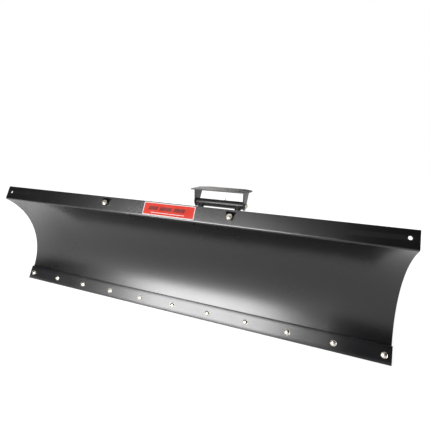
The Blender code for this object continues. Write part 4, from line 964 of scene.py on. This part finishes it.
CLEVIS = eased([(TINY, 0.0178), (0.0066, 0.0178), (0.0066, 0.0148), (0.003, 0.0148), (0.003, -0.0168),
                (0.0022, -0.0175), (TINY, -0.0175)], EDGE_BREAK)
for side, s in SIDES:
    foot = middle_of(f"skid_socket_{side}") * (1, 1, 0)
    body = f"skid_{side}"
    shoe = turned(shoe_profile(), foot, UPRIGHT, 72)
    piece(f"skid_shoe_cast_{side}", shoe, body, IRON, f"skid_shoe_{side}")
    under = foot + (SOCKET_LOW - SKID_WASHER_PLATE - GAP) * UPRIGHT
    flat = washer(under, UPRIGHT, SOCKET_BORE, SKID_WASHER, SKID_WASHER_PLATE)
    piece(f"skid_washer_flat_{side}", flat, body, ZINC, f"skid_washer_{side}")
    pin = turned(CLEVIS, foot + SKID_PIN_Z * UPRIGHT, s * ALONG_X, 32)
    piece(f"skid_clevis_pin_{side}", pin, body, ZINC, f"skid_pin_{side}")
    tube = eased_ring(tube_profile(SOCKET_BORE, SOCKET_RADIUS, SOCKET_LOW, SOCKET_TOP), EDGE_BREAK)
    piece(f"skid_socket_tube_{side}", turned(tube, foot, UPRIGHT, ring=True), "blade", FRAME_COAT,
          f"skid_socket_{side}")
    print(side, "shoe at", foot.round(4))

# %% [markdown]
# ## Trip springs and eye bolts
#
# The two tension springs hold the blade upright and let it trip forwards over a kerb. A tension spring
# is wound close, each turn touching the next, and both ends are bent into hooks. One swept wire makes
# the lower hook, the coil and the upper hook. It bends with the joint: what lies below the coil follows
# the spring's own body, what lies above follows the hook's body, and the turns between spread evenly.

# %% The spring's line
ANCHOR = np.array(joints["spring_left_swing"]["pos_m"], float) * (0, 1, 1)
SPRING_AXIS = unit(joints["spring_left_stretch"]["axis"])
SPRING_SIDE = np.cross(SPRING_AXIS, ALONG_X)
SPRING_RADIUS, WIRE, HOOK_RADIUS = 0.0145, 0.00225, 0.008
SPAN = float((at(0.0, BROW_V, BROW_W + EYE_BOLT_RISE) - ANCHOR) @ SPRING_AXIS)
EYE_U, EYE_RADIUS, EYE_WIRE = SPAN - 0.078, 0.011, 0.0035
HOOK_U = EYE_U - EYE_RADIUS
COIL_LOW, COIL_HIGH = 0.022 + WIRE, HOOK_U - 0.028
COIL_TURNS = int((COIL_HIGH - COIL_LOW) / (2 * WIRE * 1.01))
print("spring span", round(SPAN, 4), "turns", COIL_TURNS)


def on_spring(x, u, n=0.0, side=0.0):
    """Points at u along the spring's line from its anchor, n square to it, and side along x."""
    u, n, side = np.broadcast_arrays(u, n, side)
    return ANCHOR + u[..., None] * SPRING_AXIS + n[..., None] * SPRING_SIDE + (x + side)[..., None] * ALONG_X


# %% Springs, eye bolts and their nuts
EYE_BOLT_FRONT, NUT_STANDOFF, NECK = 0.017, 0.0026, 0.030


def hook(u, start, end):
    """A half turn of wire about u, between two angles."""
    a = np.linspace(start, end, 20)
    return np.stack([u + HOOK_RADIUS * np.sin(a), HOOK_RADIUS * np.cos(a), 0 * a], axis=1)


def spring_path(x):
    """Lower hook, shank, close-wound coil, shank and upper hook, as one line of points."""
    lower = np.concatenate([[(0.005, -HOOK_RADIUS, 0)], hook(0, np.pi, 2 * np.pi), [(0.008, HOOK_RADIUS, 0)]])
    t = np.linspace(0, 1, 20 * COIL_TURNS + 1)
    a = 2 * np.pi * COIL_TURNS * t
    coil = np.stack([COIL_LOW + (COIL_HIGH - COIL_LOW) * t,
                     SPRING_RADIUS * np.cos(a), SPRING_RADIUS * np.sin(a)], axis=1)
    upper = np.concatenate([[(HOOK_U - 0.009, HOOK_RADIUS + 0.0006, 0)], hook(HOOK_U, 0, np.pi),
                            [(HOOK_U - 0.005, -HOOK_RADIUS, 0)]])
    first = eased([lower[-1], (0.0155, 0.0125, 0), coil[0]], 0.004, 6)[1:-1]
    last = eased([coil[-1], (COIL_HIGH + 0.0085, 0.0135, 0), upper[0]], 0.005, 6)[1:-1]
    return on_spring(x, *np.concatenate([lower, first, coil, last, upper]).T)


def eye_bolt(x):
    """Shells: the forged eye, a neck, and the threaded rod that leans through the notch."""
    a = np.linspace(0, 2 * np.pi, 48, endpoint=False)[:, None]
    b = np.linspace(0, 2 * np.pi, 16, endpoint=False)
    size = EYE_RADIUS + EYE_WIRE * np.cos(b)
    eye = on_spring(x, EYE_U + size * np.cos(a), EYE_WIRE * np.sin(b) + 0 * a, size * np.sin(a))
    start = EYE_U + EYE_RADIUS
    neck = eased([(0.0036, 0.0), (EYE_BOLT_RADIUS, 0.006), (EYE_BOLT_RADIUS, NECK), (TINY, NECK)], 0.002, 4)
    rod_start = start + NECK - LAP
    length = SPAN + EYE_BOLT_FRONT - rod_start
    rod = thread(on_spring(x, rod_start), SPRING_AXIS, EYE_BOLT_RADIUS, length, 0.0016, 28)
    return [loop_shell(eye), turned(neck, on_spring(x, start), SPRING_AXIS, 32), rod]


for side, s in SIDES:
    x = s * SPRING_X
    spring = piece(f"trip_spring_wound_{side}", swept(spring_path(x), WIRE, 8), None, SPRING_STEEL,
                   f"trip_spring_{side}", f"spring_hook_{side}", smooth_below=60)
    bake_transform(spring, f"spring_{side}", f"hook_{side}",
             start=on_spring(x, COIL_LOW), end=on_spring(x, COIL_HIGH))
    piece(f"eye_bolt_threaded_{side}", joined(eye_bolt(x)), "blade", ZINC, f"eye_bolt_{side}")
    nut = hexagon(on_spring(x, SPAN + NUT_STANDOFF), SPRING_AXIS, 0.011, 0.0095, 0.0058)
    piece(f"eye_nut_{side}", nut, "blade", ZINC, f"eye_bolt_nut_{side}")
    print(side, "spring", len(spring.data.polygons), "faces")

# %% [markdown]
# ## Pivots and their bolts
#
# The king bolt lets the blade angle, the trip pins let it tip, and the lift bolt hinges the whole plow on
# the bracket. All three are hexagon bolts with a nut, turned from one profile each. The tubes that they
# run in are plain turned rings.

# %% Hexagon bolts
PIN_RADIUS, PIN_HOLE, HEX_RADIUS, HEX_HEIGHT = 0.008, 0.0084, 0.0138, 0.010
TRIP_OUTER, TRIP_INNER, LIFT_HALF = 0.2063, 0.1912, 0.1416


def hex_bolt(start, end):
    """Shells: head beyond start, smooth shank, nut beyond end and the thread's tail."""
    along = unit(end - start)
    shank = rod_profile(PIN_RADIUS, 0, float(np.linalg.norm(end - start)))
    return [hexagon(start - HEX_HEIGHT * along, along, HEX_RADIUS, HEX_HEIGHT),
            turned(shank, start, along, 40),
            hexagon(end, along, HEX_RADIUS, HEX_HEIGHT, PIN_RADIUS - 0.0002),
            thread(end - LAP * along, along, PIN_RADIUS, HEX_HEIGHT + 0.005, 0.002, 32)]


TRIP, KING = middle_of("trip_pin_left") * (0, 1, 1), middle_of("king_tube") * (1, 1, 0)
HINGE = middle_of("hinge_tube")
top, foot = box_of("swivel_top_plate")[1][2] + GAP, box_of("swivel_bottom_plate")[0][2] - GAP
BOLTS_MADE = (("trip_bolt_left", "trip_pin_left", "blade", TRIP, ALONG_X, -TRIP_OUTER, -TRIP_INNER),
              ("trip_bolt_right", "trip_pin_right", "blade", TRIP, ALONG_X, TRIP_OUTER, TRIP_INNER),
              ("king_bolt_hex", "king_bolt", "swivel", KING, UPRIGHT, top, foot),
              ("lift_bolt_hex", "lift_bolt", "mount_bracket", HINGE, ALONG_X, -LIFT_HALF, LIFT_HALF))
for name, node_name, body, centre, axis, start, end in BOLTS_MADE:
    piece(name, joined(hex_bolt(centre + start * axis, centre + end * axis)), body, ZINC, node_name)
print("hexagon bolts", len(BOLTS_MADE))

# %% Bushes
KING_OUTER, HINGE_OUTER, HINGE_HALF = 0.019, 0.021, 0.1345


def bush(name, node_name, radius, start, axis, length):
    """A tube from start along an axis, with the pin's hole through it."""
    ring = eased_ring(tube_profile(PIN_HOLE, radius, 0, length), 0.0007)
    piece(name, turned(ring, start, axis, 64, ring=True), "push_frame", FRAME_COAT, node_name)


king_low, king_high = (corner[2] for corner in box_of("king_tube"))
bush("king_bush", "king_tube", KING_OUTER, KING + king_low * UPRIGHT, UPRIGHT, king_high - king_low)
bush("hinge_bush", "hinge_tube", HINGE_OUTER, HINGE - HINGE_HALF * ALONG_X, ALONG_X, 2 * HINGE_HALF)
print("bushes at", KING.round(4), HINGE.round(4))

# %% [markdown]
# ## The push frame
#
# Two bent pipes carry the push from the vehicle to the sector plate. Each is coped, which means that its
# end is cut to the curve of the tube that it meets. The pipe is a ring carried along a bent path, and
# the cope is a last ring whose points slide along the pipe until they touch the hinge tube.

# %% Arms
ARM_RADIUS, BEND_REACH, ARM_FRONT_X, ARM_REAR_X = 0.016, 0.0213, 0.092, 0.108
ARM_START, ARM_BEND, COPE_RADIUS = 0.014, 0.085, HINGE_OUTER + GAP
sector_low = box_of("sector_plate")[0][2]
ARM_LEVEL = sector_low - GAP - ARM_RADIUS


def coped_arm(s):
    """Rings along the bent path, the last one slid along the pipe until it meets the hinge tube's circle.

    A point q slides by t along d, and meets the circle when |q + t d| = R in y and z, a quadratic in t."""
    corners = [(s * ARM_FRONT_X, KING[1] + ARM_START, ARM_LEVEL),
               (s * ARM_FRONT_X, KING[1] + ARM_BEND, ARM_LEVEL), (s * ARM_REAR_X, HINGE[1], HINGE[2])]
    path = resampled(eased(corners, BEND_REACH, 12), 0.004, 2)[0]
    rings = swept_rings(path, ARM_RADIUS, 32)[:-12]
    along = unit(path[-1] - path[-8])
    q, d = (rings[-1] - HINGE)[:, 1:], along[1:]
    a, b, c = d @ d, 2 * q @ d, (q ** 2).sum(1) - COPE_RADIUS ** 2
    slide = (-b - np.sqrt(b * b - 4 * a * c)) / (2 * a)
    return np.concatenate([rings, (rings[-1] + slide[:, None] * along)[None]])


ARMS = {side: coped_arm(s) for side, s in SIDES}
for side, rings in ARMS.items():
    piece(f"side_arm_pipe_{side}", tube_shell(rings), "push_frame", FRAME_COAT, f"side_arm_{side}")
print("arm rings", len(ARMS["left"]))

# %% Brace and grease nipple
brace_low, brace_high = box_of("cross_brace")
BRACE = middle_of("cross_brace") * (0, 1, 1)
bar = eased(rod_profile(0.010, brace_low[0], brace_high[0]), EDGE_BREAK)
piece("cross_brace_bar", turned(bar, BRACE, ALONG_X, 40), "push_frame", FRAME_COAT, "cross_brace")

nipple = eased([(TINY, 0.010), (0.0016, 0.010), (0.0026, 0.0085), (0.0018, 0.0065), (0.0032, 0.0055),
                (0.0036, 0.0), (TINY, 0.0)], EDGE_BREAK)
nipple_foot = HINGE + 0.0208 * UPRIGHT + 0.03 * ALONG_X
piece("grease_nipple", turned(nipple, nipple_foot, UPRIGHT, 24), "push_frame", ZINC)
print("brace length", round(brace_high[0] - brace_low[0], 4))

# %% [markdown]
# ## The lock
#
# A spring-loaded pin drops into one of five holes to set the blade's angle. It is drawn up here, which
# leaves the blade free to swing. The housing is a turned cup, and the pull bar goes across the top.

# %% Lock housing, pin and spring
LOCK = middle_of("lock_housing") * (0, 1, 0)
CUP_BORE, CUP_HOLLOW, CUP_RADIUS, CUP_ROOF = 0.0064, 0.011, 0.014, 0.003
LOCK_RADIUS, COLLAR_RADIUS, COLLAR_HEIGHT, GRIP_RADIUS, GRIP_DROP = 0.006, 0.0095, 0.004, 0.0045, 0.008
LOCK_COIL, LOCK_WIRE, LOCK_TURNS, LOCK_SEAT = 0.0085, 0.0007, 5, 0.0008

cup_foot, roof = (corner[2] for corner in box_of("lock_housing"))
ring = eased_ring([(CUP_BORE, roof), (CUP_RADIUS, roof), (CUP_RADIUS, cup_foot), (CUP_HOLLOW, cup_foot),
                   (CUP_HOLLOW, roof - CUP_ROOF), (CUP_BORE, roof - CUP_ROOF)], EDGE_BREAK)
piece("lock_cup", turned(ring, LOCK, UPRIGHT, ring=True), "swivel", FRAME_COAT, "lock_housing")

(_, _, tip), (half, _, top) = box_of("lock_pin")
coil_low, coil_high = (corner[2] for corner in box_of("lock_spring"))
collar = coil_low - GAP
profile = eased([(TINY, top), (LOCK_RADIUS, top), (LOCK_RADIUS, collar), (COLLAR_RADIUS, collar),
                 (COLLAR_RADIUS, collar - COLLAR_HEIGHT), (LOCK_RADIUS, collar - COLLAR_HEIGHT),
                 (LOCK_RADIUS, tip + 0.001), (LOCK_RADIUS - 0.001, tip), (TINY, tip)], LOCK_SEAT)
grip = eased(rod_profile(GRIP_RADIUS, -half, half), 0.0016, 5)
grip = turned(grip, LOCK + (top - GRIP_DROP) * UPRIGHT, ALONG_X, 28)
piece("lock_pin_and_bar", joined([turned(profile, LOCK, UPRIGHT, 32), grip]), "lock_pin", ZINC, "lock_pin")

t = np.linspace(0, 1, 200)
a = 2 * np.pi * LOCK_TURNS * t
helix = np.stack([LOCK_COIL * np.cos(a), LOCK[1] + LOCK_COIL * np.sin(a),
                  coil_low + LOCK_SEAT + (coil_high - coil_low - 2 * LOCK_SEAT) * t], axis=1)
piece("lock_pin_spring", swept(helix, LOCK_WIRE, 8), "lock_pin", SPRING_STEEL, "lock_spring", smooth_below=60)
print("lock pin from", round(tip, 4), "to", round(top, 4))

# %% [markdown]
# ## Weld beads
#
# The frame is welded, and a bead is not a smooth fillet: the pool freezes in overlapping ripples, about
# two millimetres apart. Each bead is a small round section carried along the joint, its radius swelling
# once a ripple. Long joints are stitched, since a full bead would pull the sheet out of shape. All the
# beads of one body are one piece, under the same powder coat.

# %% Kinds of bead
RIPPLE, BEAD, SINK = 0.0022, 0.0022, 0.0004


def bead(path, radius=BEAD):
    """A swept section whose radius is r (0.88 + 0.22 |sin(pi s / ripple)|), drawn in at both ends."""
    points, s = resampled(path, RIPPLE / 4)
    swell = 0.88 + 0.22 * np.abs(np.sin(np.pi * s / RIPPLE))
    ends = np.clip(np.minimum(s, s[-1] - s) / (1.5 * radius), 0.25, 1) ** 0.5
    return swept(points, radius, 8, swell * ends)


def straight_beads(places, start, end, radius=BEAD):
    """One bead at each x, from start to end in (y, z)."""
    return [bead([(x, *start), (x, *end)], radius) for x in places]


def stitches(path, pitch=0.070, run=0.030):
    """Beads of one run each, once a pitch, along a longer joint."""
    points, s = resampled(path, 0.001)
    count = max(1, int((s[-1] - run) / pitch) + 1)
    starts = np.linspace(0.004, s[-1] - run - 0.004, count) if count > 1 else [max(0.0, (s[-1] - run) / 2)]
    return [bead(points[(s >= start) & (s <= start + run)]) for start in starts]


def round_bead(centre, axis, radius, size=BEAD):
    a = np.linspace(0, 2 * np.pi, 80)
    first, second = square_pair(unit(axis))
    return bead(centre + radius * (np.cos(a)[:, None] * first + np.sin(a)[:, None] * second), size)


def behind_sheet(x, start, end):
    """Points on the back of the curve at one x, between two angles up from the flat."""
    a = np.radians(np.linspace(start, end, 60))
    r = ARC_RADIUS + SHEET + 0.0010
    return at(x, ARC_V + r * np.cos(a), ARC_W + r * np.sin(a))


# %% Weld beads
stiffener_rear, socket = box_of("stiffener_left")[0][1] + SINK, middle_of("skid_socket_left")
tube_low, tube_high = box_of("cross_tube")
ear_low, ear_high = box_of("bracket_ear_left")
beads = {"blade": [], "swivel": [], "push_frame": [], "bracket": []}
for side, s in SIDES:
    for x in (0.2070, 0.5960, 0.6040):
        beads["blade"] += stitches(behind_sheet(s * x, 3, 66))
    for z in (0.1992, 0.2068):
        beads["blade"] += stitches([(s * 0.215, stiffener_rear, z), (s * 0.588, stiffener_rear, z)])
    front = socket[1] - 0.0128
    beads["blade"] += straight_beads((s * 0.5962, s * 0.6038), (front, 0.096), (front, 0.134))
    front = tube_low[1] - 0.0002
    beads["swivel"] += straight_beads((s * 0.1908, s * 0.2002), (front, tube_low[2] + 0.004),
                                      (front, tube_high[2] - 0.004))
    top = tube_high[2] + SINK
    beads["swivel"] += straight_beads((s * 0.2713, s * 0.2787), (tube_low[1] + 0.005, top),
                                      (tube_high[1] - 0.005, top), 0.0017)
    beads["push_frame"].append(bead(ARMS[side][-1][np.r_[0:32, 0:1]], 0.0026))
    for x, radius, size in ((brace_high[0] + SINK, 0.0103, BEAD), (0.0042, 0.0104, 0.0018)):
        beads["push_frame"].append(round_bead(BRACE + s * x * ALONG_X, ALONG_X, radius, size))
    under = sector_low - 0.0006
    beads["push_frame"] += straight_beads((s * 0.0855, s * 0.0985), (KING[1] + 0.018, under),
                                          (KING[1] + 0.058, under), 0.0028)
    under = ear_high[2] - SINK
    beads["bracket"] += straight_beads((s * 0.1348, s * 0.1418), (ear_low[1] + 0.006, under),
                                       (ear_high[1] - 0.006, under), 0.0024)
rear = tube_high[1] + SINK
for z, half in ((tube_high[2] + 0.0005, 0.050), (tube_low[2] - 0.0005, 0.040)):
    beads["swivel"].append(bead([(-half, rear, z), (half, rear, z)], 0.0018))
beads["swivel"].append(round_bead(LOCK + (cup_foot + SINK) * UPRIGHT, UPRIGHT, 0.0146, 0.0018))
beads["push_frame"].append(round_bead(KING + (king_high - 0.0006) * UPRIGHT, UPRIGHT, 0.0196, 0.002))
for name, shells in beads.items():
    body = "mount_bracket" if name == "bracket" else name
    piece(f"welds_{name}", joined(shells), body, FRAME_COAT, smooth_below=70)
    print("welds on", name, len(shells))
